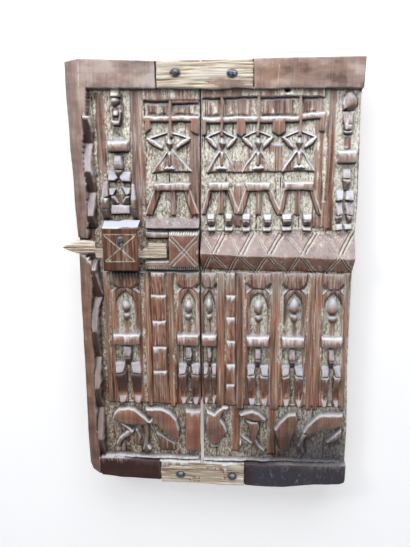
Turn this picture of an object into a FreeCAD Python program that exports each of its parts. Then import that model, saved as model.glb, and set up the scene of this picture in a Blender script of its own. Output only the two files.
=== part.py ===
"""Dogon granary door: two carved planks, two nailed battens and a wooden bolt lock.

The door stands upright: X to the right, Z up, and the carved front faces -Y. The flat back is the
plane Y = 0, and the origin is the middle of the back. Places across and up the door are shares of
its width and height, counted from its lower left corner, and everything else is a named size.
"""

import FreeCAD, Part
import os
import Sketcher

doc = FreeCAD.newDocument("granary_door")

# Driving dimensions, in millimetres
SIZES = [
    ("door_width", 480.0, "width across both planks at the top"),
    ("door_height", 750.0, "height of the planks"),
    ("ground_thickness", 20.0, "plank left between the carvings"),
    ("frame_thickness", 36.0, "plank at its rails and stile"),
    ("relief_thickness", 34.0, "plank at the carved figures"),
    ("rib_thickness", 27.0, "plank at the flat ribs between the figures"),
    ("ridge_thickness", 47.0, "plank at the crest of the cross ridge"),
    ("panel_thickness", 42.0, "plank at the square panel beside the lock"),
    ("seam_gap", 2.0, "gap between the planks"),
    ("seam_spread", 3.0, "how much wider the gap grows at the foot"),
    ("batten_thickness", 18.0, "battens that tie the planks"),
    ("top_batten_length", 157.0, "top batten across the seam"),
    ("top_batten_width", 41.0, "top batten up and down"),
    ("bottom_batten_length", 158.0, "bottom batten across the seam"),
    ("bottom_batten_width", 43.0, "bottom batten up and down"),
    ("batten_fit", 0.3, "gap round a batten in its seat"),
    ("nail_diameter", 5.0, "forged nail shank"),
    ("nail_head_diameter", 13.0, "forged nail head"),
    ("nail_head_thickness", 3.0, "forged nail head height"),
    ("nail_depth", 15.0, "nail in the plank"),
    ("nail_fit", 0.1, "gap round a nail"),
    ("lock_width", 59.5, "lock body across"),
    ("lock_height", 86.0, "lock body up and down"),
    ("lock_thickness", 34.0, "lock body from the plank to its face"),
    ("lock_below_bolt", 21.0, "lock body below the bolt"),
    ("lock_slope_height", 11.0, "sloped top of the lock body"),
    ("lock_slope_depth", 26.0, "how far the sloped top runs back"),
    ("lock_fit", 0.3, "gap round the lock body in the carving"),
    ("bolt_thickness", 13.0, "bolt front to back"),
    ("bolt_width", 16.0, "bolt where it runs through the lock"),
    ("bolt_seat", 28.0, "back of the bolt above the back of the door"),
    ("bolt_reach", 72.0, "bolt tip from the side of the lock"),
    ("bolt_stop_gap", 2.0, "gap between the bolt's tail and the panel"),
    ("bolt_head_length", 58.0, "pointed head of the bolt"),
    ("bolt_head_width", 25.0, "head of the bolt at its widest"),
    ("bolt_head_raise", 6.0, "foot of the bolt's head above the foot of its shank"),
    ("bolt_shank_length", 93.0, "plain part of the bolt"),
    ("bolt_tail_length", 31.5, "wide tail of the bolt"),
    ("bolt_tail_width", 26.0, "tail of the bolt up and down"),
    ("bolt_clearance", 0.4, "gap round the bolt in the lock"),
    ("bolt_travel", 18.0, "throw of the bolt"),
    ("bolt_notch_below", 7.0, "notched bar cut away below the bolt's foot"),
    ("bolt_notch_above", 53.0, "notched bar cut away above the bolt's foot"),
    ("bolt_notch_gap", 1.0, "gap between the bolt's head and the stile"),
    ("tumbler_diameter", 5.0, "iron tumbler"),
    ("tumbler_length", 26.0, "iron tumbler"),
    ("tumbler_lift", 7.0, "how far a tumbler can rise"),
    ("tumbler_clearance", 0.5, "gap round a tumbler"),
    ("tumbler_seat_gap", 0.1, "gap between a tumbler and the bolt under it"),
    ("notch_depth", 5.0, "notch in the bolt for a tumbler"),
    ("overrun", 4.0, "how far a cut or a root runs past the face it meets"),
]

sheet = doc.addObject("Spreadsheet::Sheet", "Sizes")
for row, (alias, value, meaning) in enumerate(SIZES, start=1):
    sheet.set(f"A{row}", meaning)
    sheet.set(f"B{row}", str(value))
    sheet.setAlias(f"B{row}", alias)
doc.recompute()

# Places on the door that several pieces share
LOCK_LEFT_SHARE = 0.1040
BOLT_FOOT_SHARE = 0.5695
RAIL_LOW_SHARE = 0.0520
RAIL_HIGH_SHARE = 0.9420
TOP_BATTEN_MIDDLE_SHARE = 0.4740
BOTTOM_BATTEN_MIDDLE_SHARE = 0.4520


def across(place):
    """Place across the door, from a share counted from its left edge or from an expression."""
    if isinstance(place, str):
        return f"({place})"
    return f"Sizes.door_width * ({place - 0.5:.4f})"


def up(place):
    """Place up the door, from a share counted from its foot or from an expression."""
    if isinstance(place, str):
        return f"({place})"
    return f"Sizes.door_height * ({place - 0.5:.4f})"


def raised(thickness, share=1.0):
    """Height above the door's back of a carving that rises by a share of its full relief."""
    return f"(Sizes.ground_thickness + (Sizes.{thickness} - Sizes.ground_thickness) * {share:.3f})"


# The lock and the bolt, which the planks make room for
LOCK_LEFT = across(LOCK_LEFT_SHARE)
BOLT_FOOT = up(BOLT_FOOT_SHARE)
BOLT_HEAD = f"{BOLT_FOOT} + Sizes.bolt_width"
BOLT_TIP = f"{LOCK_LEFT} - Sizes.bolt_reach"
BOLT_END = f"{BOLT_TIP} + Sizes.bolt_head_length + Sizes.bolt_shank_length + Sizes.bolt_tail_length"
HEAD_END = f"{BOLT_TIP} + Sizes.bolt_head_length"
HEAD_FOOT = f"{BOLT_FOOT} + Sizes.bolt_head_raise"
STILE_LOW = f"{HEAD_FOOT} - Sizes.bolt_notch_gap"
STILE_HIGH = f"{HEAD_FOOT} + Sizes.bolt_head_width + Sizes.bolt_notch_gap"
LOCK_FOOT = f"{BOLT_FOOT} - Sizes.lock_below_bolt"
LOCK_HEAD = f"{LOCK_FOOT} + Sizes.lock_height"
NOTCH_LOW = f"{BOLT_FOOT} - Sizes.bolt_notch_below"
NOTCH_HIGH = f"{BOLT_FOOT} + Sizes.bolt_notch_above"
PANEL_LEFT = f"{BOLT_END} + Sizes.bolt_stop_gap"
TUMBLER_PLACE_SHARES = (0.25, 0.80)


# Sketches and pads


def value_of(text):
    """The value that an expression has now."""
    return float(sheet.evalExpression(text.replace("Sizes.", "")))


def origin_plane(body, role):
    """One of a body's own origin planes."""
    return next(item for item in body.Origin.OriginFeatures if item.Role == role)


def make_body(name):
    """A named body."""
    body = doc.addObject("PartDesign::Body", name)
    body.Label = name
    return body


def sketch_loops(body, name, role, loops, offset="0"):
    """Closed outlines in a body's plane, each corner bound to a pair of expressions."""
    sketch = body.newObject("Sketcher::SketchObject", name)
    sketch.AttachmentSupport = (origin_plane(body, role), [""])
    sketch.MapMode = "FlatFace"
    sketch.setExpression(".AttachmentOffset.Base.z", offset)
    for loop in loops:
        first = sketch.GeometryCount
        count = len(loop)
        corners = [FreeCAD.Vector(value_of(a), value_of(b), 0) for a, b in loop]
        sides = [Part.LineSegment(corners[i], corners[(i + 1) % count]) for i in range(count)]
        sketch.addGeometry(sides, False)
        rules = []
        texts = []
        for i, (a, b) in enumerate(loop):
            rules.append(Sketcher.Constraint("Coincident", first + i, 2, first + (i + 1) % count, 1))
            texts.append(None)
            rules.append(Sketcher.Constraint("DistanceX", -1, 1, first + i, 1, corners[i].x))
            texts.append(a)
            rules.append(Sketcher.Constraint("DistanceY", -1, 1, first + i, 1, corners[i].y))
            texts.append(b)
        for index, text in zip(sketch.addConstraint(rules), texts):
            if text:
                sketch.setExpression(f"Constraints[{index}]", text)
    return sketch


def pad(body, name, sketch, length):
    """A pad of a sketch, with its length bound."""
    feature = body.newObject("PartDesign::Pad", name)
    feature.Profile = sketch
    feature.setExpression("Length", length)
    return feature


def pocket(body, name, sketch, length):
    """A pocket of a sketch, cut towards the side that the sketch faces."""
    feature = body.newObject("PartDesign::Pocket", name)
    feature.Profile = sketch
    feature.setExpression("Length", length)
    feature.Reversed = True
    return feature


def rectangle(left, right, low, high):
    """A rectangle from four expressions."""
    return [(left, low), (right, low), (right, high), (left, high)]


# Carved forms


class Carver:
    """Collects the carved forms of one plank."""

    def __init__(self, name):
        self.name = name
        self.forms = []
        self.loops = {}

    def block(self, left, right, low, high, rise=1.0, top=0.25, foot=0.1, side=0.12,
              thickness="relief_thickness"):
        """A block with sloped faces; each slope is a share of its width or height."""
        wedge = doc.addObject("Part::Wedge", f"{self.name}_form_{len(self.forms)}")
        width = f"({across(right)} - {across(left)})"
        height = f"({up(high)} - {up(low)})"
        wedge.setExpression("Ymin", "-" + raised(thickness, rise))
        wedge.setExpression("Ymax", "-(Sizes.ground_thickness - Sizes.overrun)")
        wedge.setExpression("Xmin", f"{across(left)} + {width} * {side}")
        wedge.setExpression("Xmax", f"{across(right)} - {width} * {side}")
        wedge.setExpression("Zmin", f"{up(low)} + {height} * {foot}")
        wedge.setExpression("Zmax", f"{up(high)} - {height} * {top}")
        wedge.setExpression("X2min", across(left))
        wedge.setExpression("X2max", across(right))
        wedge.setExpression("Z2min", up(low))
        wedge.setExpression("Z2max", up(high))
        self.forms.append(wedge)

    def blocks(self, table_shares, **kind):
        """One block for each row of a table."""
        for row in table_shares:
            self.block(*row, **kind)

    def outline(self, points_shares, layer="relief_thickness"):
        """A flat-topped form with a free outline, as thick as the layer's size."""
        loop = [(across(x), up(z)) for x, z in points_shares]
        self.loops.setdefault(layer, []).append(loop)

    def finish(self):
        """Pads the outlines, a few to each sketch."""
        few = 4
        for layer, loops in self.loops.items():
            body = make_body(f"{self.name}_{layer}_outlines")
            for start in range(0, len(loops), few):
                name = f"{body.Label}_{start}"
                sketch = sketch_loops(body, f"{name}_sketch", "XZ_Plane", loops[start:start + few],
                                      "Sizes.ground_thickness - Sizes.overrun")
                pad(body, name, sketch, f"Sizes.{layer} - Sizes.ground_thickness + Sizes.overrun")
            self.forms.append(body)
        return self.forms


# One niche figure, as shares of half its width across and of the door up:
# left, right, low, high, rise, slope of the top, slope of the foot, slope of the sides
NICHE_SHARES = (
    (-0.95, 0.95, 0.490, 0.531, 0.95, 0.10, 0.25, 0.10),
    (-0.85, -0.60, 0.378, 0.492, 0.80, 0.05, 0.02, 0.20),
    (0.60, 0.85, 0.378, 0.492, 0.80, 0.05, 0.02, 0.20),
    (-0.30, 0.30, 0.436, 0.470, 0.95, 0.45, 0.10, 0.20),
    (-0.22, 0.22, 0.416, 0.432, 0.75, 0.40, 0.10, 0.20),
    (-0.12, 0.12, 0.378, 0.414, 0.55, 0.10, 0.05, 0.10),
    (-1.00, 1.00, 0.353, 0.380, 1.00, 0.28, 0.06, 0.05),
    (-0.25, 0.25, 0.299, 0.345, 0.80, 0.25, 0.20, 0.25),
    (-0.98, -0.15, 0.278, 0.303, 0.90, 0.75, 0.05, 0.08),
    (0.15, 0.98, 0.278, 0.303, 0.90, 0.75, 0.05, 0.08),
    (-0.98, -0.25, 0.229, 0.277, 1.00, 0.05, 0.55, 0.08),
    (0.25, 0.98, 0.229, 0.277, 1.00, 0.05, 0.55, 0.08),
    (-0.85, -0.20, 0.200, 0.221, 0.90, 0.60, 0.05, 0.10),
    (0.20, 0.85, 0.200, 0.221, 0.90, 0.60, 0.05, 0.10),
)
ARCH_SHARES = ((0.62, 0.492), (0.62, 0.462), (0.32, 0.477), (0.02, 0.488), (0.02, 0.492))


def niche_figure(carver, middle_share, width_share):
    """An ancestor in a pointed niche above a seated second figure, all in one column."""
    half_share = width_share / 2
    for left, right, low, high, rise, top, foot, side in NICHE_SHARES:
        carver.block(middle_share + left * half_share, middle_share + right * half_share, low, high,
                     rise, top, foot, side)
    for sign in (-1, 1):
        arch = [(middle_share + sign * x * half_share, z) for x, z in ARCH_SHARES]
        carver.outline(arch, layer="rib_thickness")


# One masked dancer's upright forms, as shares of the door from its middle line
DANCER_SHARES = (
    (-0.0035, 0.0035, 0.838, 0.942, 0.75, 0.02, 0.02, 0.10),
    (-0.0140, 0.0140, 0.805, 0.843, 0.90, 0.35, 0.35, 0.20),
    (-0.0060, 0.0060, 0.768, 0.812, 0.60, 0.02, 0.02, 0.15),
    (-0.0190, 0.0190, 0.763, 0.779, 0.90, 0.30, 0.20, 0.20),
)
# A bent arm and half a skirt, as shares of how far the elbow reaches
ARM_SHARES = ((0.06, 0.853), (1.00, 0.841), (1.00, 0.834), (0.28, 0.815), (0.22, 0.821), (0.80, 0.8375),
              (0.06, 0.846))
SKIRT_SHARES = ((0.00, 0.812), (0.94, 0.767), (0.94, 0.7615), (0.00, 0.7615))


def dancer(carver, middle_share, left_share, right_share):
    """A masked dancer under a cross-barred headdress, with bent arms and a flared skirt."""
    for left, right, *rest in DANCER_SHARES:
        carver.block(middle_share + left, middle_share + right, *rest)
    for reach_share in (-left_share, right_share):
        carver.outline([(middle_share + x * reach_share, z) for x, z in ARM_SHARES])
        skirt = [(middle_share + x * reach_share, z) for x, z in SKIRT_SHARES]
        carver.outline(skirt, layer="rib_thickness")


# A stool's seat, straight leg and splayed leg
SEAT_SHARES = (0.7215, 0.741, 1.0, 0.35, 0.1, 0.04)
STRAIGHT_LEG_SHARES = (0.666, 0.720, 0.85, 0.02, 0.1, 0.15)
SPLAYED_LEG_SHARES = ((0.06, 0.00, 0.718), (0.00, 1.00, 0.668), (-0.16, 1.00, 0.666), (-0.26, 0.00, 0.718))
LEG_HALF_SHARE = 0.009


def stool(carver, left_share, right_share, splay_share):
    """A carved stool: a seat on two splayed legs and a straight one."""
    middle_share = (left_share + right_share) / 2
    width_share = right_share - left_share
    carver.block(left_share, right_share, *SEAT_SHARES)
    carver.block(middle_share - LEG_HALF_SHARE, middle_share + LEG_HALF_SHARE, *STRAIGHT_LEG_SHARES)
    for sign, edge_share in ((-1, left_share), (1, right_share)):
        leg = [(edge_share + sign * (out * width_share + splay * splay_share), z)
               for out, splay, z in SPLAYED_LEG_SHARES]
        carver.outline(leg)


# One step of a notched post: the gap under it, then its rise and the slopes of its top, foot and sides
STEP_GAP_SHARE = 0.002
STEP_SHARES = (1.0, 0.08, 0.7, 0.05)


def notched_post(carver, left_share, right_share, steps_shares):
    """A post with a notch under each step."""
    for high, low in zip(steps_shares, steps_shares[1:]):
        carver.block(left_share, right_share, low + STEP_GAP_SHARE, high, *STEP_SHARES)


# Planks

SEAM_SHARES = ((-0.010, 0.4510), (0.200, 0.4505), (0.320, 0.4498), (0.470, 0.4490), (0.757, 0.4543),
               (1.000, 0.4610))
SPREAD_START_SHARE = 0.30


def seam(side):
    """One plank's edge along the seam, from the foot up; the gap spreads towards the foot."""
    corners = []
    for height, place in SEAM_SHARES:
        spread = min(max(0.0, SPREAD_START_SHARE - height) / SPREAD_START_SHARE, 1.0)
        shift = f"({side}) * (Sizes.seam_gap + Sizes.seam_spread * {spread:.3f}) / 2"
        corners.append((f"{across(place)} + {shift}", up(height)))
    return corners


def seat_edge(which, middle_share, side):
    """Where a batten's seat ends, across the door."""
    half = f"(Sizes.{which}_batten_length / 2 + Sizes.batten_fit)"
    return f"{across(middle_share)} + ({side}) * {half}"


def board(name, outline, frame_loops):
    """A plank's ground with its frame standing on it."""
    body = make_body(name)
    ground = sketch_loops(body, f"{name}_ground_sketch", "XZ_Plane", [outline])
    pad(body, f"{name}_ground", ground, "Sizes.ground_thickness")
    frame = sketch_loops(body, f"{name}_frame_sketch", "XZ_Plane", frame_loops)
    pad(body, f"{name}_frame", frame, "Sizes.frame_thickness")
    return body


SAW_PEAK_SHARE = 1.25
SAW_VALLEY_SHARE = 0.70
SAW_LEFT_SHARE = 0.061
SAW_WIDTH_SHARE = 0.016
CREASE_SHARE = 0.045


def saw_bar():
    """The notched bar along the stile's inner edge, cut away where the bolt crosses it."""
    body = make_body("saw_bar")
    peak = raised("frame_thickness", SAW_PEAK_SHARE)
    valley = raised("frame_thickness", SAW_VALLEY_SHARE)
    root = "-(Sizes.ground_thickness - Sizes.overrun)"
    upper = [(peak, 0.887), (valley, 0.827), (peak, 0.766), (valley, 0.718), (peak, 0.668),
             (valley, f"{NOTCH_HIGH} + Sizes.overrun")]
    lower = [(valley, f"{NOTCH_LOW} - Sizes.overrun"), (peak, 0.528), (valley, 0.470), (peak, 0.390),
             (valley, 0.318), (peak, 0.242), (valley, 0.182), (peak, 0.106), (valley, 0.052)]
    loops = []
    for run_shares in (upper, lower):
        front = [(f"-{height}", up(place)) for height, place in run_shares]
        loops.append(front + [(root, up(run_shares[-1][1])), (root, up(run_shares[0][1]))])
    sketch = sketch_loops(body, "saw_bar_sketch", "YZ_Plane", loops, across(SAW_LEFT_SHARE))
    pad(body, "saw_bar_pad", sketch, f"Sizes.door_width * {SAW_WIDTH_SHARE}")
    return body


def left_board():
    """The left plank's ground, stile and rails."""
    edge_shares = ((1.000, -0.001), (0.900, -0.001), (0.815, 0.000), (0.748, 0.004), (0.680, 0.006),
                   (0.600, 0.010), (0.500, 0.007), (0.280, 0.006), (0.120, 0.002), (0.030, 0.004),
                   (0.013, 0.012), (0.003, 0.047), (-0.003, 0.130))
    outline = [(across(x), up(z)) for z, x in edge_shares] + seam(-1)
    top_seat = seat_edge("top", TOP_BATTEN_MIDDLE_SHARE, -1)
    bottom_seat = seat_edge("bottom", BOTTOM_BATTEN_MIDDLE_SHARE, -1)
    crease = across(CREASE_SHARE)
    upper_frame = [(crease, up(0.999)), (crease, NOTCH_HIGH), (across(0.078), NOTCH_HIGH),
                   (across(0.072), up(RAIL_HIGH_SHARE)), (top_seat, up(RAIL_HIGH_SHARE)),
                   (top_seat, up(0.999))]
    lower_frame = [(crease, NOTCH_LOW), (crease, up(0.020)), (across(0.055), up(0.004)),
                   (bottom_seat, up(-0.002)), (bottom_seat, up(0.048)),
                   (across(0.063), up(RAIL_LOW_SHARE)), (across(0.070), up(0.300)),
                   (across(0.079), NOTCH_LOW)]
    return board("left_board", outline, [upper_frame, lower_frame])


def carve_left():
    """The carved forms of the left plank."""
    carver = Carver("left")
    # the stile's sloped outer strip, above and below the bolt
    carver.block(0.0125, 0.0470, STILE_HIGH, 0.985, 1.0, 0.0, 0.0, 0.45, thickness="frame_thickness")
    carver.block(0.0125, 0.0470, 0.020, STILE_LOW, 1.0, 0.0, 0.0, 0.45, thickness="frame_thickness")
    # flat ribs between the figures: left, right, low, high
    rib_shares = ((0.096, 0.117, 0.757, 0.942), (0.222, 0.250, 0.667, 0.942), (0.245, 0.262, 0.190, 0.533),
                  (0.326, 0.344, 0.190, 0.533))
    carver.blocks(rib_shares, thickness="rib_thickness", top=0.0, foot=0.0)
    # the standing ancestor beside the stile: left, right, low, high, rise, slope of the top
    ancestor_shares = (
        (0.152, 0.185, 0.906, 0.942, 0.95, 0.45), (0.150, 0.186, 0.868, 0.903, 0.75, 0.20),
        (0.158, 0.180, 0.836, 0.869, 0.55, 0.00), (0.136, 0.209, 0.806, 0.836, 1.00, 0.25),
        (0.155, 0.181, 0.763, 0.801, 0.90, 0.30), (0.131, 0.161, 0.744, 0.767, 0.90, 0.70),
        (0.173, 0.209, 0.744, 0.767, 0.90, 0.70), (0.100, 0.131, 0.657, 0.742, 1.00, 0.30),
        (0.205, 0.227, 0.657, 0.737, 1.00, 0.30), (0.133, 0.160, 0.690, 0.727, 0.90, 0.40),
        (0.172, 0.203, 0.690, 0.732, 0.90, 0.40), (0.133, 0.203, 0.661, 0.688, 0.50, 0.30),
    )
    carver.blocks(ancestor_shares)
    # a masked dancer, its headdress's two cross bars and their ends, and a stool
    dancer(carver, 0.354, 0.078, 0.072)
    bar_shares = ((0.272, 0.352, 0.914, 0.929), (0.356, 0.4535, 0.909, 0.924), (0.259, 0.4535, 0.871, 0.884))
    carver.blocks(bar_shares, rise=0.9, top=0.4, side=0.02)
    bar_end_shares = ((0.262, 0.286, 0.846, 0.873), (0.423, 0.4530, 0.840, 0.873))
    carver.blocks(bar_end_shares, rise=0.9, top=0.1, foot=0.2, side=0.15)
    stool(carver, 0.287, 0.420, 0.028)
    # the beam under the stool, and the two rails beside the bolt's tail
    beam_shares = (0.256, 0.450, 0.636, 0.666, 1.1, 0.75, 0.05, 0.0)
    carver.block(*beam_shares)
    upper_rail_shares = (0.612, 0.632, 0.6, 0.3, 0.1, 0.0)
    carver.block(0.254, PANEL_LEFT, *upper_rail_shares)
    lower_rail_shares = (0.538, 0.565, 1.1, 0.2, 0.1, 0.0)
    carver.block(0.251, PANEL_LEFT, *lower_rail_shares)
    # the square panel that stops the bolt
    panel_shares = (0.4485, 0.538, 0.631, 1.0, 0.05, 0.05, 0.0)
    carver.block(PANEL_LEFT, *panel_shares, thickness="panel_thickness")
    niche_figure(carver, 0.170, 0.108)
    niche_figure(carver, 0.4035, 0.083)
    notched_post(carver, 0.268, 0.322, (0.533, 0.476, 0.413, 0.345, 0.284, 0.194))
    # a grazing animal and the post in front of it
    body_shares = ((0.097, 0.150), (0.105, 0.170), (0.127, 0.184), (0.190, 0.182), (0.225, 0.160),
                   (0.2265, 0.186), (0.300, 0.186), (0.330, 0.176), (0.352, 0.158), (0.366, 0.128),
                   (0.366, 0.107), (0.327, 0.108), (0.300, 0.124), (0.274, 0.143), (0.236, 0.146),
                   (0.222, 0.141), (0.155, 0.140))
    hind_leg_shares = ((0.160, 0.144), (0.150, 0.118), (0.116, 0.100), (0.111, 0.078), (0.122, 0.076),
                       (0.128, 0.096), (0.172, 0.118), (0.185, 0.144))
    fore_leg_shares = ((0.222, 0.145), (0.222, 0.070), (0.250, 0.070), (0.240, 0.080), (0.236, 0.149))
    carver.outline(body_shares)
    carver.outline(hind_leg_shares, layer="rib_thickness")
    carver.outline(fore_leg_shares, layer="rib_thickness")
    carver.block(0.386, 0.4465, 0.070, 0.186, 0.9, 0.08, 0.03, 0.08)
    return carver.finish()


def right_board():
    """The right plank's ground and rails."""
    edge_shares = ((-0.016, 0.720), (-0.006, 0.880), (-0.002, 0.990), (0.010, 0.999), (0.107, 0.998),
                   (0.150, 0.997), (0.300, 0.988), (0.400, 0.986), (0.470, 0.988), (0.550, 0.994),
                   (0.630, 0.996), (0.680, 0.999), (0.745, 0.998), (0.892, 0.993), (0.938, 0.996),
                   (1.000, 0.999))
    outline = [(across(x), up(z)) for z, x in edge_shares] + list(reversed(seam(1)))
    top_seat = seat_edge("top", TOP_BATTEN_MIDDLE_SHARE, 1)
    bottom_seat = seat_edge("bottom", BOTTOM_BATTEN_MIDDLE_SHARE, 1)
    top_rail = [(top_seat, up(0.938)), (across(0.990), up(0.938)), (across(0.996), up(0.999)),
                (top_seat, up(0.999))]
    bottom_rail = [(bottom_seat, up(-0.014)), (across(0.750), up(-0.012)), (across(0.880), up(-0.005)),
                   (across(0.985), up(-0.001)), (across(0.992), up(RAIL_LOW_SHARE)),
                   (bottom_seat, up(0.045))]
    return board("right_board", outline, [top_rail, bottom_rail])


def ridge():
    """The cross ridge: a prism whose crest falls a little towards the right."""
    body = make_body("ridge_prism")
    # each end's place across the door, and its head, crest and foot
    end_shares = ((0.4585, 0.630, 0.581, 0.5335), (0.984, 0.631, 0.571, 0.527))
    root = "-(Sizes.ground_thickness - Sizes.overrun)"
    sketches = []
    for number, (place, head, crest, foot) in enumerate(end_shares):
        loop = [(root, up(foot)), (root, up(head)), ("-Sizes.ridge_thickness", up(crest))]
        sketches.append(sketch_loops(body, f"ridge_end_{number}", "YZ_Plane", [loop], across(place)))
    loft = body.newObject("PartDesign::AdditiveLoft", "ridge_loft")
    loft.Profile = sketches[0]
    loft.Sections = [sketches[1]]
    return body


def carve_right():
    """The carved forms of the right plank."""
    carver = Carver("right")
    # flat ribs between the figures: left, right, low, high
    rib_shares = ((0.858, 0.897, 0.764, 0.940), (0.902, 0.918, 0.640, 0.940), (0.512, 0.539, 0.190, 0.533),
                  (0.585, 0.612, 0.190, 0.533), (0.712, 0.739, 0.190, 0.533), (0.846, 0.868, 0.190, 0.533),
                  (0.870, 0.884, 0.190, 0.533), (0.978, 0.986, 0.190, 0.533))
    carver.blocks(rib_shares, thickness="rib_thickness", top=0.0, foot=0.0)
    # three masked dancers under one pair of cross bars: middle, left reach, right reach
    dancer_shares = ((0.5305, 0.050, 0.060), (0.655, 0.060, 0.060), (0.797, 0.056, 0.066))
    for row in dancer_shares:
        dancer(carver, *row)
    bar_shares = ((0.4645, 0.876, 0.919, 0.935), (0.4640, 0.793, 0.868, 0.881), (0.803, 0.882, 0.873, 0.886))
    carver.blocks(bar_shares, rise=0.9, top=0.4, side=0.01)
    bar_end_shares = ((0.4640, 0.479, 0.841, 0.874), (0.579, 0.613, 0.838, 0.874),
                      (0.700, 0.746, 0.842, 0.874), (0.859, 0.882, 0.849, 0.874))
    carver.blocks(bar_end_shares, rise=0.9, top=0.05, foot=0.25, side=0.15)
    stool_shares = ((0.485, 0.558, 0.034), (0.613, 0.698, 0.036), (0.748, 0.848, 0.024))
    for row in stool_shares:
        stool(carver, *row)
    # knobs above the ridge: left and right, then what they share
    knob_shares = ((0.480, 0.507), (0.543, 0.568), (0.605, 0.631), (0.678, 0.705), (0.743, 0.775),
                   (0.816, 0.843))
    knob_form_shares = (0.6365, 0.667, 1.25, 0.45, 0.35, 0.05)
    for left, right in knob_shares:
        carver.block(left, right, *knob_form_shares)
    # the standing ancestor at the edge: left, right, low, high, rise, slope of the top
    ancestor_shares = (
        (0.937, 0.982, 0.892, 0.935, 1.00, 0.35), (0.930, 0.980, 0.849, 0.891, 1.10, 0.10),
        (0.944, 0.978, 0.808, 0.846, 0.60, 0.00), (0.926, 0.985, 0.775, 0.808, 1.00, 0.25),
        (0.946, 0.974, 0.721, 0.770, 0.90, 0.20), (0.926, 0.954, 0.697, 0.722, 0.90, 0.70),
        (0.959, 0.985, 0.697, 0.722, 0.90, 0.70), (0.926, 0.954, 0.655, 0.690, 1.00, 0.35),
        (0.959, 0.985, 0.655, 0.690, 1.00, 0.35), (0.931, 0.985, 0.633, 0.652, 0.80, 0.40),
    )
    carver.blocks(ancestor_shares)
    # four niche figures: middle, width
    niche_row_shares = ((0.4835, 0.054), (0.6640, 0.086), (0.7910, 0.090), (0.9310, 0.094))
    for row in niche_row_shares:
        niche_figure(carver, *row)
    notched_post(carver, 0.545, 0.578, (0.533, 0.477, 0.422, 0.364, 0.304, 0.252, 0.192))
    # a drop-shaped animal with a horn
    drop_shares = ((0.472, 0.180), (0.464, 0.150), (0.468, 0.115), (0.482, 0.095), (0.498, 0.088),
                   (0.520, 0.098), (0.549, 0.127), (0.540, 0.146), (0.526, 0.162), (0.499, 0.168),
                   (0.508, 0.184), (0.545, 0.190), (0.535, 0.196), (0.500, 0.192))
    # an upright one with a bent leg
    upright_shares = ((0.591, 0.179), (0.663, 0.181), (0.698, 0.165), (0.650, 0.154), (0.664, 0.125),
                      (0.664, 0.100), (0.640, 0.093), (0.618, 0.110), (0.614, 0.135), (0.622, 0.156))
    bent_leg_shares = ((0.603, 0.107), (0.684, 0.076), (0.612, 0.066), (0.598, 0.076), (0.640, 0.084))
    # a long head, and the body and legs behind it
    head_shares = ((0.725, 0.139), (0.751, 0.161), (0.780, 0.178), (0.812, 0.178), (0.818, 0.157),
                   (0.801, 0.117), (0.791, 0.082), (0.749, 0.082), (0.737, 0.115))
    body_shares = ((0.834, 0.130), (0.850, 0.150), (0.878, 0.167), (0.905, 0.180), (0.983, 0.182),
                   (0.983, 0.148), (0.939, 0.144), (0.905, 0.139), (0.880, 0.132), (0.862, 0.122))
    fore_leg_shares = ((0.836, 0.126), (0.818, 0.098), (0.832, 0.084), (0.850, 0.092), (0.842, 0.106),
                       (0.858, 0.126))
    hind_leg_shares = ((0.983, 0.150), (0.983, 0.122), (0.945, 0.106), (0.925, 0.112), (0.960, 0.146))
    for shape_shares in (drop_shares, upright_shares, head_shares, body_shares):
        carver.outline(shape_shares)
    for limb_shares in (bent_leg_shares, fore_leg_shares, hind_leg_shares):
        carver.outline(limb_shares, layer="rib_thickness")
    return carver.finish()


# Nails and their holes

BATTEN_FACE = "(Sizes.ground_thickness + Sizes.batten_thickness)"
LOCK_FACE = "(Sizes.ground_thickness + Sizes.lock_thickness)"
TOP_NAIL_SHARES = ((0.376, 0.9735), (0.566, 0.9700))
BOTTOM_NAIL_SHARES = ((0.366, 0.0130), (0.569, 0.0120))
LOCK_NAIL_ACROSS_SHARE = 0.568
LOCK_NAIL_UP_SHARE = 0.60
LOCK_NAIL_PLACE = (f"{LOCK_LEFT} + Sizes.lock_width * {LOCK_NAIL_ACROSS_SHARE}",
                   f"{LOCK_FOOT} + Sizes.lock_height * {LOCK_NAIL_UP_SHARE}", LOCK_FACE)
NAIL_PLACES = {
    "top_batten_nails": [(across(x), up(z), BATTEN_FACE) for x, z in TOP_NAIL_SHARES],
    "bottom_batten_nails": [(across(x), up(z), BATTEN_FACE) for x, z in BOTTOM_NAIL_SHARES],
    "lock_nail": [LOCK_NAIL_PLACE],
}
NAIL_TIP = "(Sizes.ground_thickness - Sizes.nail_depth)"


def round_bar(name, radius, x, z, back, front):
    """A round bar square to the door, from one height above its back to another."""
    bar = doc.addObject("Part::Cylinder", name)
    bar.setExpression("Radius", radius)
    bar.setExpression("Height", f"({front}) - ({back})")
    bar.Placement.Rotation = FreeCAD.Rotation(FreeCAD.Vector(1, 0, 0), 90)
    bar.setExpression(".Placement.Base.x", x)
    bar.setExpression(".Placement.Base.y", f"-({back})")
    bar.setExpression(".Placement.Base.z", z)
    return bar


def nails(group):
    """A group of forged nails, each a head on a shank."""
    made = []
    for number, (x, z, face) in enumerate(NAIL_PLACES[group]):
        shank = round_bar(f"{group}_shank_{number}", "Sizes.nail_diameter / 2", x, z, NAIL_TIP, face)
        head = round_bar(f"{group}_head_{number}", "Sizes.nail_head_diameter / 2", x, z, face,
                         f"{face} + Sizes.nail_head_thickness")
        nail = doc.addObject("Part::Fuse", f"{group}_nail_{number}")
        nail.Base = shank
        nail.Tool = head
        made.append(nail)
    joined = doc.addObject("Part::Compound", group)
    joined.Links = made
    joined.Label = group
    return joined


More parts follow.
